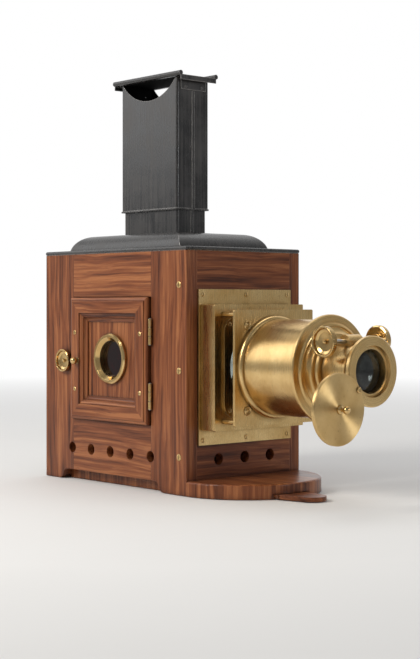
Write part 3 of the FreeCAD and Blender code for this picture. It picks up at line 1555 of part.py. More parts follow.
# Swinging cap of the objective, hanging open from its pivot screw
flap_back = hood_front + d.flap_gap
flap_front = flap_back + d.flap_thickness
flap_spot = (flap_back, pivot_y + flap_rest_y, pivot_z + flap_rest_z)
flap_hollow = flap_radius - d.flap_lip
flap_disc = turned("flap_disc", "X", flap_spot, [
    (d.flap_thickness - d.flap_web, 0.0),
    (d.flap_thickness - d.flap_web, flap_hollow),
    (0.0, flap_hollow),
    (0.0, flap_radius - d.flap_edge),
    (d.flap_edge, flap_radius),
    (d.flap_thickness - d.flap_edge, flap_radius),
    (d.flap_thickness, flap_radius - d.flap_edge),
    (d.flap_thickness, 0.0),
])
flap_hole = rod("flap_hole", "X", (flap_back, pivot_y, pivot_z), d.flap_thickness,
                d.pivot_radius + d.shaft_play)
node("lens_cap", cut("flap", flap_disc, [flap_hole]))
node("cap_knob", turned("flap_knob", "X", (flap_front, flap_spot[1], flap_spot[2]), [
    (0.0, 0.0),
    (0.0, d.flap_ball * 1.2),
    (d.flap_ball * 0.4, d.flap_ball * 1.1),
    (d.flap_ball * 0.7, d.flap_ball * 0.5),
    (d.flap_knob_length - d.flap_ball * BALL_REACH, d.flap_ball * STEM, -d.flap_ball),
    (d.flap_knob_length, 0.0),
]))
pivot_start = flap_front + d.flap_gap / 2
pivot_length = d.flap_thickness + d.flap_gap * 1.5 + pivot_bite
pivot_body = turned("pivot", "X", (pivot_start, pivot_y, pivot_z), [
    (-pivot_length, 0.0),
    (-pivot_length, d.pivot_radius),
    (0.0, d.pivot_radius),
    (0.0, d.pivot_radius * 1.5),
    (d.pivot_radius * 0.45, d.pivot_radius * 1.5),
    (d.pivot_radius * 0.8, d.pivot_radius * 1.1),
    (d.pivot_radius * 0.8, 0.0),
])
node("cap_pivot", pivot_body)

# Lamp on its sliding tray, whose upturned back closes the rear of the lamp house
tray_low = d.base_thickness + d.slide_play
tray_high = tray_low + d.sheet_metal
back_out = d.slide_play - half_length
back_in = back_out + d.sheet_metal
tray_front_x = back_out + d.tray_front
tank_middle_x = back_out + d.tank_middle
tray_xs = (back_out, tray_front_x)
tray_half = d.tray_half_width
back_half = inner_width - d.slide_play
rim_zs = (tray_low, tray_low + d.tray_rim)
grip_out = back_out - d.grip_reach
grip_ys = (-d.grip_half_width, d.grip_half_width)
tank_top = tray_high + d.tank_height
spindle_height = tank_top + d.spindle_rise
spindle_end = back_out - d.spindle_show
spindle_spot = (back_out, 0.0, spindle_height)
back_plate_top = d.body_height - d.rear_rail_height - d.back_gap
tray = fuse("tray", [
    box("tray_floor", tray_xs, (-tray_half, tray_half), (tray_low, tray_high)),
    box("tray_rim_door", tray_xs, (-tray_half, d.sheet_metal - tray_half), rim_zs),
    box("tray_rim_off", tray_xs, (tray_half - d.sheet_metal, tray_half), rim_zs),
    box("tray_rim_front", (tray_front_x - d.sheet_metal, tray_front_x),
        (-tray_half, tray_half), rim_zs),
    box("back_plate", (back_out, back_in), (-back_half, back_half), (tray_low, back_plate_top)),
    box("grip_shelf", (grip_out, back_out), grip_ys, (d.grip_height, d.grip_height + d.sheet_metal)),
    box("grip_edge", (grip_out, grip_out + d.sheet_metal), grip_ys,
        (d.grip_height - d.grip_lip, d.grip_height + d.sheet_metal)),
])
node("lamp_tray", cut("lamp_tray_cut", tray, [
    rod("spindle_passage", "X", spindle_spot, d.sheet_metal, d.spindle_radius + d.shaft_play),
]))
runner_near = tray_half + d.slide_play
runner_zs = (d.base_thickness, d.base_thickness + d.runner_height)
runner_xs = (d.rail_thickness - half_length, tray_front_x)
node("lamp_runners", group("runner_pair", [
    box("runner_door", runner_xs, (-runner_near - d.runner_width, -runner_near), runner_zs),
    box("runner_off", runner_xs, (runner_near, runner_near + d.runner_width), runner_zs),
]))
tank = padded("tank", "XY", rounded(tank_middle_x, d.tank_half_length, d.tank_half_width, d.tank_corner),
              tray_high, d.tank_height)
filler = milled(turned("filler", "Z", (tank_middle_x - d.filler_offset, d.filler_y, tank_top), [
    (0.0, 0.0),
    (0.0, d.filler_radius * 0.8),
    (d.filler_rise * 0.35, d.filler_radius * 0.8),
    (d.filler_rise * 0.35, d.filler_radius),
    (d.filler_rise * 0.9, d.filler_radius),
    (d.filler_rise, d.filler_radius * 0.85),
    (d.filler_rise, 0.0),
]), d.filler_radius, 30, 0.4)
wick_xs = (tank_middle_x - d.wick_half_width, tank_middle_x + d.wick_half_width)
wick_ys = (-d.wick_half_thickness, d.wick_half_thickness)
tank_room = padded("tank_room", "XY",
                   rounded(tank_middle_x, d.tank_half_length - d.sheet_metal,
                           d.tank_half_width - d.sheet_metal, d.tank_corner),
                   tray_high + d.sheet_metal, d.tank_height - d.sheet_metal * 2)
tank_slot = box("tank_slot", (wick_xs[0] + d.wick_half_thickness, wick_xs[1] - d.wick_half_thickness),
                (-d.wick_half_thickness / 2, d.wick_half_thickness / 2),
                (tank_top - d.sheet_metal, tank_top))
node("oil_tank", cut("tank_cut", fuse("tank_solid", [tank, filler]), [tank_room, tank_slot]))
wick_solid = box("wick_case", wick_xs, wick_ys, (tank_top, tank_top + d.wick_height))
wick_mouth = box("wick_mouth",
                 (wick_xs[0] + d.sheet_metal, wick_xs[1] - d.sheet_metal),
                 (wick_ys[0] + d.sheet_metal, wick_ys[1] - d.sheet_metal),
                 (tank_top + d.wick_fill, tank_top + d.wick_height))
boss = rod("spindle_boss", "X", (wick_xs[0] - d.spindle_boss, 0.0, spindle_height),
           d.spindle_boss, d.spindle_radius * 2)
boss_bore = rod("spindle_bore", "X", (wick_xs[0] - d.spindle_boss, 0.0, spindle_height),
                d.spindle_boss, d.spindle_radius + d.shaft_play)
node("wick_tube", cut("wick_tube_cut", fuse("wick_tube_solid", [wick_solid, boss]),
                      [wick_mouth, boss_bore]))
spindle_length = wick_xs[0] - d.slide_play - spindle_end
node("wick_spindle", milled(turned(
    "spindle", "-X", (spindle_end, 0.0, spindle_height),
    hollow_knob(d.spindle_knob, d.spindle_knob_depth, d.spindle_radius, spindle_length)),
    d.spindle_knob, 26, 0.4))
reflector_x = tank_middle_x - d.reflector_reach
dish_curve = (d.reflector_radius * d.reflector_radius + d.reflector_dish * d.reflector_dish) \
    / (d.reflector_dish * 2)
dish = turned("dish", "X", (reflector_x, 0.0, d.lens_height), [
    (0.0, 0.0, -dish_curve),
    (d.reflector_dish, d.reflector_radius),
    (d.reflector_dish + d.sheet_metal, d.reflector_radius, dish_curve),
    (d.sheet_metal, 0.0),
])
leg_x = reflector_x + d.reflector_dish
node("reflector", fuse("reflector_stand", [dish] + [
    rod(f"reflector_leg_{name}", "Z", (leg_x, d.reflector_leg_y * side, tray_high),
        d.lens_height - d.reflector_grip - tray_high, d.reflector_leg)
    for name, side in (("door", -1), ("off", 1))
]))

# Every object up to date, every sub-part sound, then one STEP file each
document.recompute()
for thing in document.Objects:
    if "Invalid" in thing.State or "Error" in thing.State:
        raise RuntimeError(f"{thing.Name} did not build: {thing.State}")
os.makedirs("parts", exist_ok=True)
for label, thing in NODES.items():
    shape = thing.Shape
    if shape.isNull() or not shape.isValid() or not shape.Solids:
        raise RuntimeError(f"{label} is not a sound solid")
    shape.exportStep(f"parts/{label}.step")
    print(f"{label}: {len(shape.Solids)} solids, {shape.Volume:.0f} mm3")
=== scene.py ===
"""Looks of the magic lantern: polished mahogany, lacquered brass, japanned iron and glass."""

import math

import bpy
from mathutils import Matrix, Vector


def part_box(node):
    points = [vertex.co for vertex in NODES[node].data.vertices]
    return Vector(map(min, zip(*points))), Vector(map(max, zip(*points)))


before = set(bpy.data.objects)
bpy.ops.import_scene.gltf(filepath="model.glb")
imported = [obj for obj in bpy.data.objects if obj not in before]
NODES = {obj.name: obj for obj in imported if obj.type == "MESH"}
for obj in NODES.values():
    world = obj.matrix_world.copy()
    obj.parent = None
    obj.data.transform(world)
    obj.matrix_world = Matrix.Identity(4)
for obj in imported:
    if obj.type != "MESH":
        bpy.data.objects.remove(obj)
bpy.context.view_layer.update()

# A point on the lens axis. Lengths are in metres, and noise scales are per metre
LENS_AXIS = (0.0, 0.0, 0.146)
# The part of a noise's range that most of its values lie in
NOISE_MIDDLE = (0.3, 0.7)
# Sockets of the mix node when it mixes colours
MIX_FACTOR, MIX_FIRST, MIX_SECOND, MIX_RESULT = 0, 6, 7, 2
# Eased and shaded corners: rays each, how open a corner is, and how far an edge turns the normal
CORNER_SAMPLES = 4
CORNER_SHUT, CORNER_OPEN = 0.35, 0.9
EDGE_FLAT, EDGE_SHARP = 0.97, 0.80


# Node tree building
class Shader:
    """A material's node tree, with short calls for the nodes it needs."""

    def __init__(self, name):
        self.material = bpy.data.materials.new(name)
        self.material.use_nodes = True
        self.tree = self.material.node_tree
        self.tree.nodes.clear()
        self.surface = self.add("ShaderNodeBsdfPrincipled")
        self.output = self.add("ShaderNodeOutputMaterial")
        self.join(self.surface.outputs["BSDF"], self.output.inputs["Surface"])
        self.place = self.add("ShaderNodeTexCoord").outputs["Object"]

    def add(self, kind, **settings):
        """A node with its properties set."""
        node = self.tree.nodes.new(kind)
        for name, value in settings.items():
            setattr(node, name, value)
        return node

    def join(self, source, target):
        """A link, or a plain value on the socket."""
        if isinstance(source, bpy.types.NodeSocket):
            self.tree.links.new(source, target)
        else:
            target.default_value = source

    def math(self, operation, *values, clamp=False):
        """A math node's result."""
        node = self.add("ShaderNodeMath", operation=operation, use_clamp=clamp)
        for socket, value in zip(node.inputs, values):
            self.join(value, socket)
        return node.outputs[0]

    def vector(self, operation, *values):
        """A vector math node's result."""
        node = self.add("ShaderNodeVectorMath", operation=operation)
        for socket, value in zip(node.inputs, values):
            self.join(value, socket)
        return node.outputs["Value" if operation in ("LENGTH", "DOT_PRODUCT") else "Vector"]

    def split(self, vector):
        """The three parts of a vector."""
        node = self.add("ShaderNodeSeparateXYZ")
        self.join(vector, node.inputs[0])
        return node.outputs

    def combine(self, *values):
        """A vector of three parts."""
        node = self.add("ShaderNodeCombineXYZ")
        for socket, value in zip(node.inputs, values):
            self.join(value, socket)
        return node.outputs[0]

    def noise(self, vector, scale=1.0, detail=3.0, roughness=0.55, distortion=0.0):
        """A noise value from 0 to 1."""
        node = self.add("ShaderNodeTexNoise")
        self.join(vector, node.inputs["Vector"])
        for name, value in (("Scale", scale), ("Detail", detail), ("Roughness", roughness),
                            ("Distortion", distortion)):
            self.join(value, node.inputs[name])
        return node.outputs["Fac"]

    def stretch(self, scales, shift=(0.0, 0.0, 0.0)):
        """The object's coordinates, scaled along each axis."""
        return self.vector("ADD", self.vector("MULTIPLY", self.place, scales), shift)

    def ramp(self, value, stops):
        """Colours between stops of (position, colour)."""
        node = self.add("ShaderNodeValToRGB")
        self.join(value, node.inputs["Fac"])
        elements = node.color_ramp.elements
        while len(elements) < len(stops):
            elements.new(0.5)
        for element, (position, colour) in zip(elements, stops):
            element.position = position
            element.color = (*colour, 1.0)
        return node.outputs["Color"]

    def span(self, value, low, high, new_low=0.0, new_high=1.0):
        """A value mapped from one span to another, and held there."""
        node = self.add("ShaderNodeMapRange")
        for socket, number in zip(node.inputs, (value, low, high, new_low, new_high)):
            self.join(number, socket)
        return node.outputs[0]

    def mix(self, factor, first, second):
        """A mix of two colours."""
        node = self.add("ShaderNodeMix", data_type="RGBA")
        for spot, value in ((MIX_FACTOR, factor), (MIX_FIRST, first), (MIX_SECOND, second)):
            self.join((*value, 1.0) if isinstance(value, tuple) else value, node.inputs[spot])
        return node.outputs[MIX_RESULT]

    def rounded(self, radius):
        """The normal, eased over sharp edges."""
        node = self.add("ShaderNodeBevel", samples=CORNER_SAMPLES)
        self.join(radius, node.inputs["Radius"])
        return node.outputs["Normal"]

    def bump(self, height, strength, distance, under=None):
        """A bumped normal."""
        node = self.add("ShaderNodeBump")
        self.join(height, node.inputs["Height"])
        self.join(strength, node.inputs["Strength"])
        self.join(distance, node.inputs["Distance"])
        if under:
            self.join(under, node.inputs["Normal"])
        return node.outputs["Normal"]

    def corners(self, reach):
        """1 in corners and crevices, 0 in the open."""
        node = self.add("ShaderNodeAmbientOcclusion", samples=CORNER_SAMPLES)
        self.join(reach, node.inputs["Distance"])
        return self.span(node.outputs["AO"], CORNER_SHUT, CORNER_OPEN, 1.0, 0.0)

    def edges(self, reach):
        """1 along sharp edges, 0 on flats."""
        flat = self.add("ShaderNodeNewGeometry").outputs["Normal"]
        return self.span(self.vector("DOT_PRODUCT", self.rounded(reach), flat), EDGE_FLAT, EDGE_SHARP)

    def set(self, **values):
        """Sockets of the surface shader, by name with underscores for spaces."""
        for name, value in values.items():
            socket = self.surface.inputs[name.replace("_", " ")]
            self.join((*value, 1.0) if isinstance(value, tuple) and len(value) == 3 else value, socket)
        return self.material


# Mahogany. The noise scales are across the grain and along it
WOOD_DARK, WOOD_MID, WOOD_WARM = (0.055, 0.014, 0.005), (0.190, 0.056, 0.019), (0.345, 0.128, 0.046)
# A dark brown for dirt in joints and corners, and for painted shade in the corners
WOOD_DIRT_AND_SHADE = (0.018, 0.007, 0.004)
WOOD_STOPS = ((0.36, WOOD_DARK), (0.50, WOOD_MID), (0.64, WOOD_WARM))
BEND_SCALES, BEND_REACH = (13.0, 4.5), 5.0
LINE_SCALES, LINE_SHARE, LINE_RELIEF = (210.0, 5.0), 0.7, 0.25
FIGURE_SCALES, FIGURE_SHARE = (24.0, 3.0), 0.3
PORE_SCALES, PORE_SPAN, PORE_TINT = (1300.0, 45.0), (0.60, 0.70), 0.5
WOOD_CREVICE, CREVICE_TINT = 0.007, 0.65
SEAM_HALF, SEAM_TINT = 0.00045, 0.8
POLISH_SCALE, POLISH_ROUGH = 22.0, (0.30, 0.42)
WOOD_GLOSS, COAT_WEIGHT, COAT_ROUGH = 0.22, 0.12, 0.12
WOOD_RELIEF, WOOD_DEPTH, WOOD_EASE = 0.16, 0.0004, 0.0009
LEVEL_NORMAL = 0.5


def grain(shader, axis, shift):
    """Figure, lines and pores of wood whose grain runs along an axis."""
    def stretched(scales):
        across, along = scales
        return shader.stretch(tuple(along if letter == axis else across for letter in "XYZ"), shift)

    bend = shader.math("MULTIPLY", shader.noise(stretched(BEND_SCALES), detail=2.0), BEND_REACH)
    wander = shader.combine(*(0.0 if letter == axis else bend for letter in "XYZ"))
    lines = shader.noise(shader.vector("ADD", stretched(LINE_SCALES), wander), detail=4.0, roughness=0.6)
    figure = shader.noise(stretched(FIGURE_SCALES), detail=2.0, distortion=0.4)
    pores = shader.noise(stretched(PORE_SCALES), detail=2.0, roughness=0.5)
    return figure, lines, shader.span(pores, *PORE_SPAN)


def seams(shader, axis, places):
    """1 on the hairlines where boards meet, at places along an axis."""
    part = shader.split(shader.place)["XYZ".index(axis)]
    found = []
    for spot in places:
        away = shader.math("ABSOLUTE", shader.math("SUBTRACT", part, spot))
        found.append(shader.math("LESS_THAN", away, SEAM_HALF))
    total = found[0]
    for one in found[1:]:
        total = shader.math("ADD", total, one, clamp=True)
    return total


def mahogany(name, axes, shift, choose=None, joints=None):
    """French-polished mahogany. Two axes and a chooser give a frame of two directions."""
    shader = Shader(name)
    parts = [grain(shader, axis, shift) for axis in axes]
    if choose is None:
        figure, lines, pores = parts[0]
    else:
        pick = choose(shader)
        other = shader.math("SUBTRACT", 1.0, pick)
        figure, lines, pores = (
            shader.math("ADD", shader.math("MULTIPLY", a, other), shader.math("MULTIPLY", b, pick))
            for a, b in zip(*parts))
    tone = shader.math("ADD", shader.math("MULTIPLY", lines, LINE_SHARE),
                       shader.math("MULTIPLY", figure, FIGURE_SHARE))
    colour = shader.ramp(tone, WOOD_STOPS)
    colour = shader.mix(shader.math("MULTIPLY", pores, PORE_TINT), colour, WOOD_DARK)
    # Painted shade together with dirt: the wood darkens in corners and crevices by how shut in they are
    dirt_and_shade = shader.math("MULTIPLY", shader.corners(WOOD_CREVICE), CREVICE_TINT)
    colour = shader.mix(dirt_and_shade, colour, WOOD_DIRT_AND_SHADE)
    if joints:
        gap = shader.math("MULTIPLY", seams(shader, *joints), SEAM_TINT)
        colour = shader.mix(gap, colour, WOOD_DIRT_AND_SHADE)
    height = shader.math("SUBTRACT", shader.math("MULTIPLY", lines, LINE_RELIEF), pores)
    rough = shader.span(shader.noise(shader.place, scale=POLISH_SCALE), *NOISE_MIDDLE, *POLISH_ROUGH)
    return shader.set(Base_Color=colour, Roughness=rough, Specular_IOR_Level=WOOD_GLOSS,
                      Coat_Weight=COAT_WEIGHT, Coat_Roughness=COAT_ROUGH,
                      Normal=shader.bump(height, WOOD_RELIEF, WOOD_DEPTH, shader.rounded(WOOD_EASE)))


def door_directions(shader):
    """1 on the level lengths of the mitred door, 0 on its upright ones."""
    low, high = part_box("door_frame")
    middle = (Vector(low) + Vector(high)) / 2
    x, _, z = shader.split(shader.vector("SUBTRACT", shader.place, tuple(middle)))
    return shader.math("GREATER_THAN", shader.math("ABSOLUTE", z), shader.math("ABSOLUTE", x))


def board_directions(shader):
    """1 on the base board's upright edge, 0 on its flat faces."""
    level = shader.split(shader.add("ShaderNodeNewGeometry").outputs["Normal"])[2]
    return shader.math("LESS_THAN", shader.math("ABSOLUTE", level), LEVEL_NORMAL)


# Brass
BRASS, BRASS_DEEP = (0.76, 0.54, 0.25), (0.58, 0.37, 0.14)
# The second colour darkens hollows and corners: dirt and patina there, and painted shade
BRASS_SPECK, BRASS_DIRT_AND_SHADE = (0.25, 0.13, 0.035), (0.070, 0.038, 0.014)
LAMP_BLACK, BLACK_ROUGH = (0.012, 0.012, 0.013), 0.45
MARK_SCALE, MARK_ROUGH = 900.0, (0.19, 0.29)
CLOUD_SCALE, CLOUD_SPAN, CLOUD_ROUGH = 38.0, (0.35, 0.75), 0.08
SPECK_SCALE, SPECK_SPAN, SPECK_TINT = 240.0, (0.64, 0.76), 0.30
BRASS_CREVICE, DIRT_AND_SHADE_SPAN, DIRT_AND_SHADE_TINT, GRIME_ROUGH = 0.006, (0.2, 0.8), (0.55, 0.95), 0.3
SWIRL_ROUGH, SWIRL_STRETCH = (0.34, 0.42), 0.95
BRASS_DEPTH, BRASS_EASE = 0.0003, 0.0004
BRASS_RELIEF, KNOB_RELIEF, DISC_RELIEF = 0.10, 0.05, 0.2
KNOB_DULL = 0.6
RING_SCALE, DISC_RING_SCALE = 2600.0, 1500.0
PLATE_SCALES = (300.0, 1500.0, 18.0)


def round_about(shader, axis, middle):
    """Coordinates of a turned piece: along its axis, and out from it."""
    parts = list(shader.split(shader.vector("SUBTRACT", shader.place, middle)))
    along = parts["XYZ".index(axis)]
    flat = [0.0 if letter == axis else part for letter, part in zip("XYZ", parts)]
    return along, shader.vector("LENGTH", shader.combine(*flat))


def brass(name, lines=None, bore=None, relief=BRASS_RELIEF, swirl=None, dull=1.0):
    """Lacquered brass. lines gives the coordinates its fine tool marks follow."""
    shader = Shader(name)
    marks = shader.noise(lines(shader), detail=3.0, roughness=0.7) if lines else \
        shader.noise(shader.place, scale=MARK_SCALE)
    cloud = shader.noise(shader.place, scale=CLOUD_SCALE, detail=4.0)
    speck = shader.span(shader.noise(shader.place, scale=SPECK_SCALE, detail=2.0), *SPECK_SPAN)
    colour = shader.mix(shader.span(cloud, *CLOUD_SPAN), BRASS, BRASS_DEEP)
    colour = shader.mix(shader.math("MULTIPLY", speck, SPECK_TINT), colour, BRASS_SPECK)
    # Painted shade together with dirt and patina: the brass darkens in hollows and corners by how shut
    # in they are
    dirt_and_shade = shader.math("MULTIPLY", shader.corners(BRASS_CREVICE),
                        shader.span(cloud, *DIRT_AND_SHADE_SPAN, *DIRT_AND_SHADE_TINT))
    colour = shader.mix(dirt_and_shade, colour, BRASS_DIRT_AND_SHADE)
    rough = shader.math("ADD", shader.span(marks, *NOISE_MIDDLE, *MARK_ROUGH),
                        shader.math("ADD", shader.math("MULTIPLY", cloud, CLOUD_ROUGH),
                                    shader.math("MULTIPLY", dirt_and_shade, GRIME_ROUGH)))
    rough = shader.math("MULTIPLY", rough, dull)
    metal = 1.0
    if bore:
        axis, middle, radius, front = bore
        along, out = round_about(shader, axis, middle)
        inside = shader.math("MULTIPLY", shader.math("LESS_THAN", out, radius),
                             shader.math("LESS_THAN", along, front))
        colour = shader.mix(inside, colour, LAMP_BLACK)
        rough = shader.math("ADD", rough, shader.math("MULTIPLY", inside, BLACK_ROUGH))
        metal = shader.math("SUBTRACT", 1.0, inside)
    if swirl:
        axis, middle = swirl
        flat = tuple(0.0 if letter == axis else 1.0 for letter in "XYZ")
        out = shader.vector("MULTIPLY", shader.vector("SUBTRACT", shader.place, middle), flat)
        turn = shader.add("ShaderNodeVectorTransform", vector_type="VECTOR",
                          convert_from="OBJECT", convert_to="WORLD")
        shader.join(out, turn.inputs[0])
        rough = shader.span(marks, *NOISE_MIDDLE, *SWIRL_ROUGH)
        shader.set(Anisotropic=SWIRL_STRETCH, Tangent=turn.outputs[0])
    return shader.set(Base_Color=colour, Metallic=metal, Roughness=rough,
                      Normal=shader.bump(marks, relief, BRASS_DEPTH, shader.rounded(BRASS_EASE)))


def brushed(scales):
    """Straight tool marks, from a scale along each axis."""
    return lambda shader: shader.stretch(scales)


def spun(axis, middle, fine=RING_SCALE):
    """Ring-shaped tool marks round an axis."""
    def marks(shader):
        along, out = (shader.math("MULTIPLY", part, fine) for part in round_about(shader, axis, middle))
        return shader.combine(along, out, 0.0)
    return marks


# Japanned sheet iron. The seams stand out from the chimney's sheet by SEAM_RISE
JAPAN, JAPAN_WORN = (0.011, 0.011, 0.012), (0.046, 0.041, 0.037)
# Worn bare edges, whose light colour is also a painted highlight along corners and seams
BARE_IRON_AND_HIGHLIGHT, BARE_METAL = (0.42, 0.40, 0.38), 0.7
BARE_AND_HIGHLIGHT_REACH, BARE_AND_HIGHLIGHT_SPAN, BARE_AND_HIGHLIGHT_TINT = 0.0016, (0.3, 0.6), (0.45, 1.0)
SOOT, SOOT_ROUGH, SOOT_GLOSS = (0.004, 0.004, 0.004), 0.9, 0.1
SEAM_RISE, HALF_SHEET = 0.001, 0.0006
PATCH_SCALE, STREAK_SCALES = 26.0, (420.0, 420.0, 9.0)
WEAR_SHARE, WEAR_SPAN = 0.5, (0.40, 0.68)
JAPAN_ROUGH, JAPAN_GLOSS = (0.22, 0.42), 0.6
DENT_SCALE, DENT_RELIEF, DENT_DEPTH = 14.0, 0.25, 0.0015
IRON_EASE = 0.0011


def flue_soot(shader):
    """1 on the surfaces that the lamp's smoke passes, 0 on the outside of the chimney."""
    low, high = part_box("chimney_sleeve")
    parts = shader.split(shader.place)
    inside = shader.math("LESS_THAN", parts[2], high[2] + HALF_SHEET)
    for axis in (0, 1):
        middle = (low[axis] + high[axis]) / 2
        half = (high[axis] - low[axis]) / 2 - SEAM_RISE - HALF_SHEET
        away = shader.math("ABSOLUTE", shader.math("SUBTRACT", parts[axis], middle))
        inside = shader.math("MULTIPLY", inside, shader.math("LESS_THAN", away, half))
    return inside


def iron(name, sooty):
    """Black japanned sheet iron, a little uneven, and bare along its worn edges, which are lightened
    also as painted highlight.
    """
    shader = Shader(name)
    cloud = shader.noise(shader.place, scale=PATCH_SCALE, detail=5.0, roughness=0.6)
    streak = shader.noise(shader.stretch(STREAK_SCALES), detail=4.0)
    wear = shader.span(shader.math("ADD", shader.math("MULTIPLY", cloud, WEAR_SHARE),
                                   shader.math("MULTIPLY", streak, 1.0 - WEAR_SHARE)), *WEAR_SPAN)
    colour = shader.mix(wear, JAPAN, JAPAN_WORN)
    # Worn bare edges, lightened also as a painted highlight along the corners and seams
    worn_and_highlit = shader.math("MULTIPLY", shader.edges(BARE_AND_HIGHLIGHT_REACH), shader.span(cloud, *BARE_AND_HIGHLIGHT_SPAN, *BARE_AND_HIGHLIGHT_TINT))
    colour = shader.mix(worn_and_highlit, colour, BARE_IRON_AND_HIGHLIGHT)
    rough = shader.span(wear, 0.0, 1.0, *JAPAN_ROUGH)
    gloss = JAPAN_GLOSS
    if sooty:
        soot = flue_soot(shader)
        colour = shader.mix(soot, colour, SOOT)
        rough = shader.math("MAXIMUM", rough, shader.math("MULTIPLY", soot, SOOT_ROUGH))
        gloss = shader.span(soot, 0.0, 1.0, JAPAN_GLOSS, SOOT_GLOSS)
    dents = shader.noise(shader.place, scale=DENT_SCALE, detail=2.0)
    return shader.set(Base_Color=colour, Metallic=shader.math("MULTIPLY", worn_and_highlit, BARE_METAL),
                      Roughness=rough, Specular_IOR_Level=gloss,
                      Normal=shader.bump(dents, DENT_RELIEF, DENT_DEPTH, shader.rounded(IRON_EASE)))


# Tinplate, steel and glass
TARNISH, TARNISH_SCALE, TARNISH_SPAN = 0.7, 60.0, (0.35, 0.7)
TARNISH_ROUGH, TARNISH_RELIEF, TARNISH_DEPTH = 0.15, 0.08, 0.0005
FILM_SCALE, FILM_SPAN, FILM_ROUGH = 70.0, (0.45, 0.8), (0.01, 0.06)
GLASS_IOR = 1.52


def bright_metal(name, colour, rough):
    """Tinplate or steel with fine cloudy marks."""
    shader = Shader(name)
    cloud = shader.noise(shader.place, scale=TARNISH_SCALE, detail=5.0)
    tint = shader.mix(shader.span(cloud, *TARNISH_SPAN), colour, tuple(c * TARNISH for c in colour))
    return shader.set(Base_Color=tint, Metallic=1.0,
                      Roughness=shader.span(cloud, *NOISE_MIDDLE, rough, rough + TARNISH_ROUGH),
                      Normal=shader.bump(cloud, TARNISH_RELIEF, TARNISH_DEPTH))


def glass(name, colour, clear, gloss):
    """Polished glass."""
    shader = Shader(name)
    film = shader.noise(shader.place, scale=FILM_SCALE, detail=3.0)
    return shader.set(Base_Color=colour, Roughness=shader.span(film, *FILM_SPAN, *FILM_ROUGH),
                      Transmission_Weight=clear, IOR=GLASS_IOR, Specular_IOR_Level=gloss)


# Which finish each piece has. BLACKED gives the radius and the end of each blackened bore
MIDDLES = {name: tuple((Vector(low) + Vector(high)) / 2)
           for name in NODES for low, high in [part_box(name)]}
UPRIGHT = ("door_side_stiles", "off_side_stiles", "front_posts", "door_panel", "off_side_panel")
LEVEL = ("door_side_rails", "off_side_rails", "lamp_runners", "steady_tongue")
ACROSS = ("front_rails", "rear_rail")
MITRED = ("door_frame", "door_moulding")
PLATES = ("front_plate", "stage_block", "condenser_flange", "lens_plate")
TURNED = ("barrel_flange", "objective_hood", "nose_flange", "stage_pillars")
KNOBS = {"catch_knob": "Y", "sight_bezel": "Y", "focus_knobs": "Y", "wick_spindle": "X",
         "cap_knob": "X", "cap_pivot": "X", "door_pull": "Y"}
IRONWORK = ("roof_plate", "roof_dome", "chimney_tube", "chimney_sleeve", "chimney_cap",
            "chimney_rivets", "lamp_tray")
SOOTY = ("chimney_sleeve", "chimney_cap")
BLACKED = {
    "barrel": (0.0540, 0.5),
    "objective_tube": (0.0250, 0.326),
    "objective_jacket": (0.0275, 0.5),
}
SPUN_DISCS = ("lens_cap",)
RAIL_ENDS = [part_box("door_side_rails")[side][0] for side in (0, 1)]
GRAIN_STEP = (3.71, 1.37, 2.19)
SPECIAL = {
    "condenser_lenses": lambda: glass("condenser_glass", (0.55, 0.62, 0.59), 1.0, 0.3),
    # The objective glass is tinted far darker than clear lens glass: painted shade that keeps the lens
    # dark
    "objective_lenses": lambda: glass("objective_glass", (0.42, 0.47, 0.45), 1.0, 0.5),
    "sight_glass": lambda: glass("sight_pane", (0.06, 0.003, 0.003), 0.9, 0.15),
    "reflector": lambda: bright_metal("silvering", (0.86, 0.86, 0.87), 0.06),
    "oil_tank": lambda: bright_metal("tank_tin", (0.62, 0.62, 0.63), 0.30),
    "wick_tube": lambda: bright_metal("wick_tin", (0.60, 0.59, 0.58), 0.32),
    "hinge_pins": lambda: bright_metal("pin_steel", (0.46, 0.45, 0.44), 0.28),
    "catch_bar": lambda: bright_metal("bar_steel", (0.48, 0.47, 0.46), 0.30),
    "focus_pinion": lambda: bright_metal("pinion_steel", (0.50, 0.49, 0.48), 0.24),
    "focus_rack": lambda: bright_metal("rack_steel", (0.50, 0.49, 0.48), 0.26),
}


def material_for(name, index):
    """The finish of one CAD node."""
    shift = tuple(index * step for step in GRAIN_STEP)
    if name in SPECIAL:
        return SPECIAL[name]()
    if name in UPRIGHT:
        return mahogany(f"wood_{name}", "Z", shift)
    if name in LEVEL:
        joints = ("X", RAIL_ENDS) if "rails" in name else None
        return mahogany(f"wood_{name}", "X", shift, joints=joints)
    if name in ACROSS:
        return mahogany(f"wood_{name}", "Y", shift)
    if name in MITRED:
        return mahogany(f"wood_{name}", "ZX", shift, door_directions)
    if name == "base_board":
        return mahogany(f"wood_{name}", "XZ", shift, board_directions)
    if name in IRONWORK:
        return iron(f"iron_{name}", name in SOOTY)
    if name in PLATES:
        return brass(f"brass_{name}", brushed(PLATE_SCALES))
    if name in BLACKED:
        return brass(f"brass_{name}", spun("X", LENS_AXIS), ("X", LENS_AXIS, *BLACKED[name]))
    if name in SPUN_DISCS:
        return brass(f"brass_{name}", spun("X", MIDDLES[name], DISC_RING_SCALE),
                     swirl=("X", MIDDLES[name]), relief=DISC_RELIEF)
    if name in TURNED:
        return brass(f"brass_{name}", spun("X", LENS_AXIS))
    if name in KNOBS:
        return brass(f"brass_{name}", spun(KNOBS[name], MIDDLES[name]),
                     relief=KNOB_RELIEF, dull=KNOB_DULL)
    return brass(f"brass_{name}")


for index, name in enumerate(sorted(NODES)):
    obj = NODES[name]
    obj.data.materials.clear()
    obj.data.materials.append(material_for(name, index))

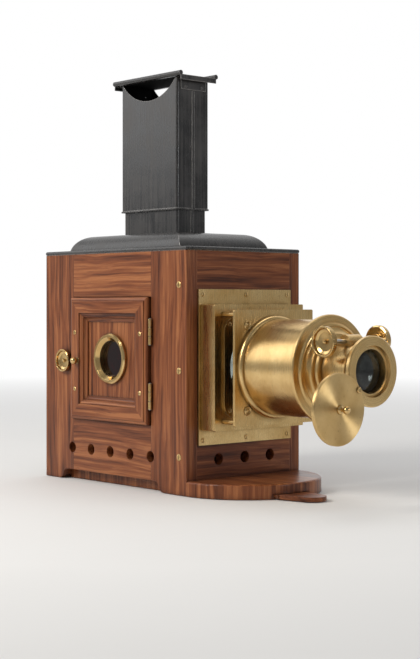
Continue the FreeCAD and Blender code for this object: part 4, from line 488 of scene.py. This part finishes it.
# Floor and light
AZIMUTH = math.radians(48.5)
BACKDROP_WAY = (-math.sin(AZIMUTH), math.cos(AZIMUTH), 0.0)
BACKDROP_SPAN = (0.0, 0.7)
BACKDROP_TONE, ROOM_TONE = 1.0, 0.26
FLOOR_TONE, FLOOR_SHADE, FLOOR_SCALE = (0.80, 0.79, 0.77), 0.97, 5.0
FLOOR_ROUGH, FLOOR_GLOSS = 0.75, 0.2
FLOOR_HALF, FLOOR_DROP = 60.0, 0.0006
FLOOR_FADE = (0.6, 2.6)
SOFT_COLOUR, SOFT_STRENGTH = (0.97, 0.98, 1.0, 1.0), 0.42
WHITE = (1.0, 1.0, 1.0, 1.0)


def seen_rays(tree):
    """1 for rays by which the background is seen, straight, mirrored or through glass."""
    path = tree.nodes.new("ShaderNodeLightPath")
    total = path.outputs["Is Camera Ray"]
    for name in ("Is Glossy Ray", "Is Transmission Ray"):
        both = tree.nodes.new("ShaderNodeMath")
        both.operation = "ADD"
        both.use_clamp = True
        tree.links.new(total, both.inputs[0])
        tree.links.new(path.outputs[name], both.inputs[1])
        total = both.outputs[0]
    return total


def backdrop_tone(tree, way):
    """The brightness of the background in a direction: white behind the lantern, grey before it."""
    facing = tree.nodes.new("ShaderNodeVectorMath")
    facing.operation = "DOT_PRODUCT"
    facing.inputs[1].default_value = BACKDROP_WAY
    tree.links.new(way, facing.inputs[0])
    fade = tree.nodes.new("ShaderNodeMapRange")
    fade.interpolation_type = "SMOOTHSTEP"
    for socket, value in zip(fade.inputs[1:5], (*BACKDROP_SPAN, ROOM_TONE, BACKDROP_TONE)):
        socket.default_value = value
    tree.links.new(facing.outputs["Value"], fade.inputs[0])
    return fade.outputs[0]


def stage_floor():
    """A wide pale floor that fades into the background away from the lantern."""
    half = FLOOR_HALF
    mesh = bpy.data.meshes.new("floor")
    mesh.from_pydata([(-half, -half, 0.0), (half, -half, 0.0), (half, half, 0.0), (-half, half, 0.0)],
                     [], [(0, 1, 2, 3)])
    floor = bpy.data.objects.new("floor", mesh)
    bpy.context.collection.objects.link(floor)
    floor.location.z = -FLOOR_DROP
    shader = Shader("pale_floor")
    tree = shader.tree
    cloud = shader.noise(shader.place, scale=FLOOR_SCALE, detail=4.0)
    shader.set(Base_Color=shader.mix(cloud, FLOOR_TONE, tuple(c * FLOOR_SHADE for c in FLOOR_TONE)),
               Roughness=FLOOR_ROUGH, Specular_IOR_Level=FLOOR_GLOSS)
    glow = shader.add("ShaderNodeEmission")
    shader.join(backdrop_tone(tree, shader.vector("NORMALIZE", shader.place)), glow.inputs["Strength"])
    blend = shader.add("ShaderNodeMixShader")
    far = shader.math("MULTIPLY", shader.span(shader.vector("LENGTH", shader.place), *FLOOR_FADE),
                      seen_rays(tree))
    shader.join(far, blend.inputs[0])
    tree.links.new(shader.surface.outputs["BSDF"], blend.inputs[1])
    tree.links.new(glow.outputs[0], blend.inputs[2])
    tree.links.new(blend.outputs[0], shader.output.inputs["Surface"])
    mesh.materials.append(shader.material)


def stage_world():
    """A studio with a white backdrop behind the lantern and a grey room in front of it."""
    world = bpy.data.worlds.new("studio")
    bpy.context.scene.world = world
    world.use_nodes = True
    tree = world.node_tree
    tree.nodes.clear()
    soft = tree.nodes.new("ShaderNodeBackground")
    soft.inputs["Color"].default_value = SOFT_COLOUR
    soft.inputs["Strength"].default_value = SOFT_STRENGTH
    way = tree.nodes.new("ShaderNodeTexCoord")
    room = tree.nodes.new("ShaderNodeBackground")
    tree.links.new(backdrop_tone(tree, way.outputs["Generated"]), room.inputs["Strength"])
    room.inputs["Color"].default_value = WHITE
    blend = tree.nodes.new("ShaderNodeMixShader")
    output = tree.nodes.new("ShaderNodeOutputWorld")
    tree.links.new(seen_rays(tree), blend.inputs[0])
    tree.links.new(soft.outputs[0], blend.inputs[1])
    tree.links.new(room.outputs[0], blend.inputs[2])
    tree.links.new(blend.outputs[0], output.inputs["Surface"])


def lamp(name, spot, size, power, colour=(1.0, 1.0, 1.0)):
    """A soft rectangular lamp that points at the lantern's middle."""
    data = bpy.data.lights.new(name, "AREA")
    data.shape = "RECTANGLE"
    data.size, data.size_y = size
    data.energy = power
    data.color = colour
    obj = bpy.data.objects.new(name, data)
    bpy.context.collection.objects.link(obj)
    obj.location = spot
    obj.rotation_euler = (Vector(LAMP_AIM) - Vector(spot)).to_track_quat("-Z", "Y").to_euler()


stage_floor()
stage_world()
LAMP_AIM = (0.06, 0.0, 0.22)
lamp("key", spot=(-0.25, -1.9, 1.45), size=(0.9, 0.9), power=34.0, colour=(1.0, 0.97, 0.93))
lamp("side", spot=(-1.45, -1.15, 1.15), size=(0.9, 1.3), power=6.2)
lamp("front", spot=(2.1, 0.7, 0.65), size=(0.45, 0.45), power=6.0, colour=(0.96, 0.98, 1.0))
lamp("top", spot=(-0.3, 0.35, 1.9), size=(1.3, 1.3), power=9.0)

# Camera at the view of the photograph: level, with the horizon a little above the middle of the frame
FRAME_HEIGHT = 659
HORIZON_ROW = 305.0
FOCAL_PIXELS = 1440.0
SENSOR = 36.0
CAMERA_SPOT = (1.379, -1.1527, 0.2173)
camera_data = bpy.data.cameras.new("view")
camera_data.sensor_fit = "AUTO"
camera_data.sensor_width = SENSOR
camera_data.lens = FOCAL_PIXELS / FRAME_HEIGHT * SENSOR
camera_data.shift_y = (HORIZON_ROW - FRAME_HEIGHT / 2) / FRAME_HEIGHT
camera = bpy.data.objects.new("view", camera_data)
bpy.context.collection.objects.link(camera)
camera.location = CAMERA_SPOT
camera.rotation_euler = (math.pi / 2, 0.0, AZIMUTH)
bpy.context.scene.camera = camera
bpy.context.scene.view_settings.view_transform = "Standard"
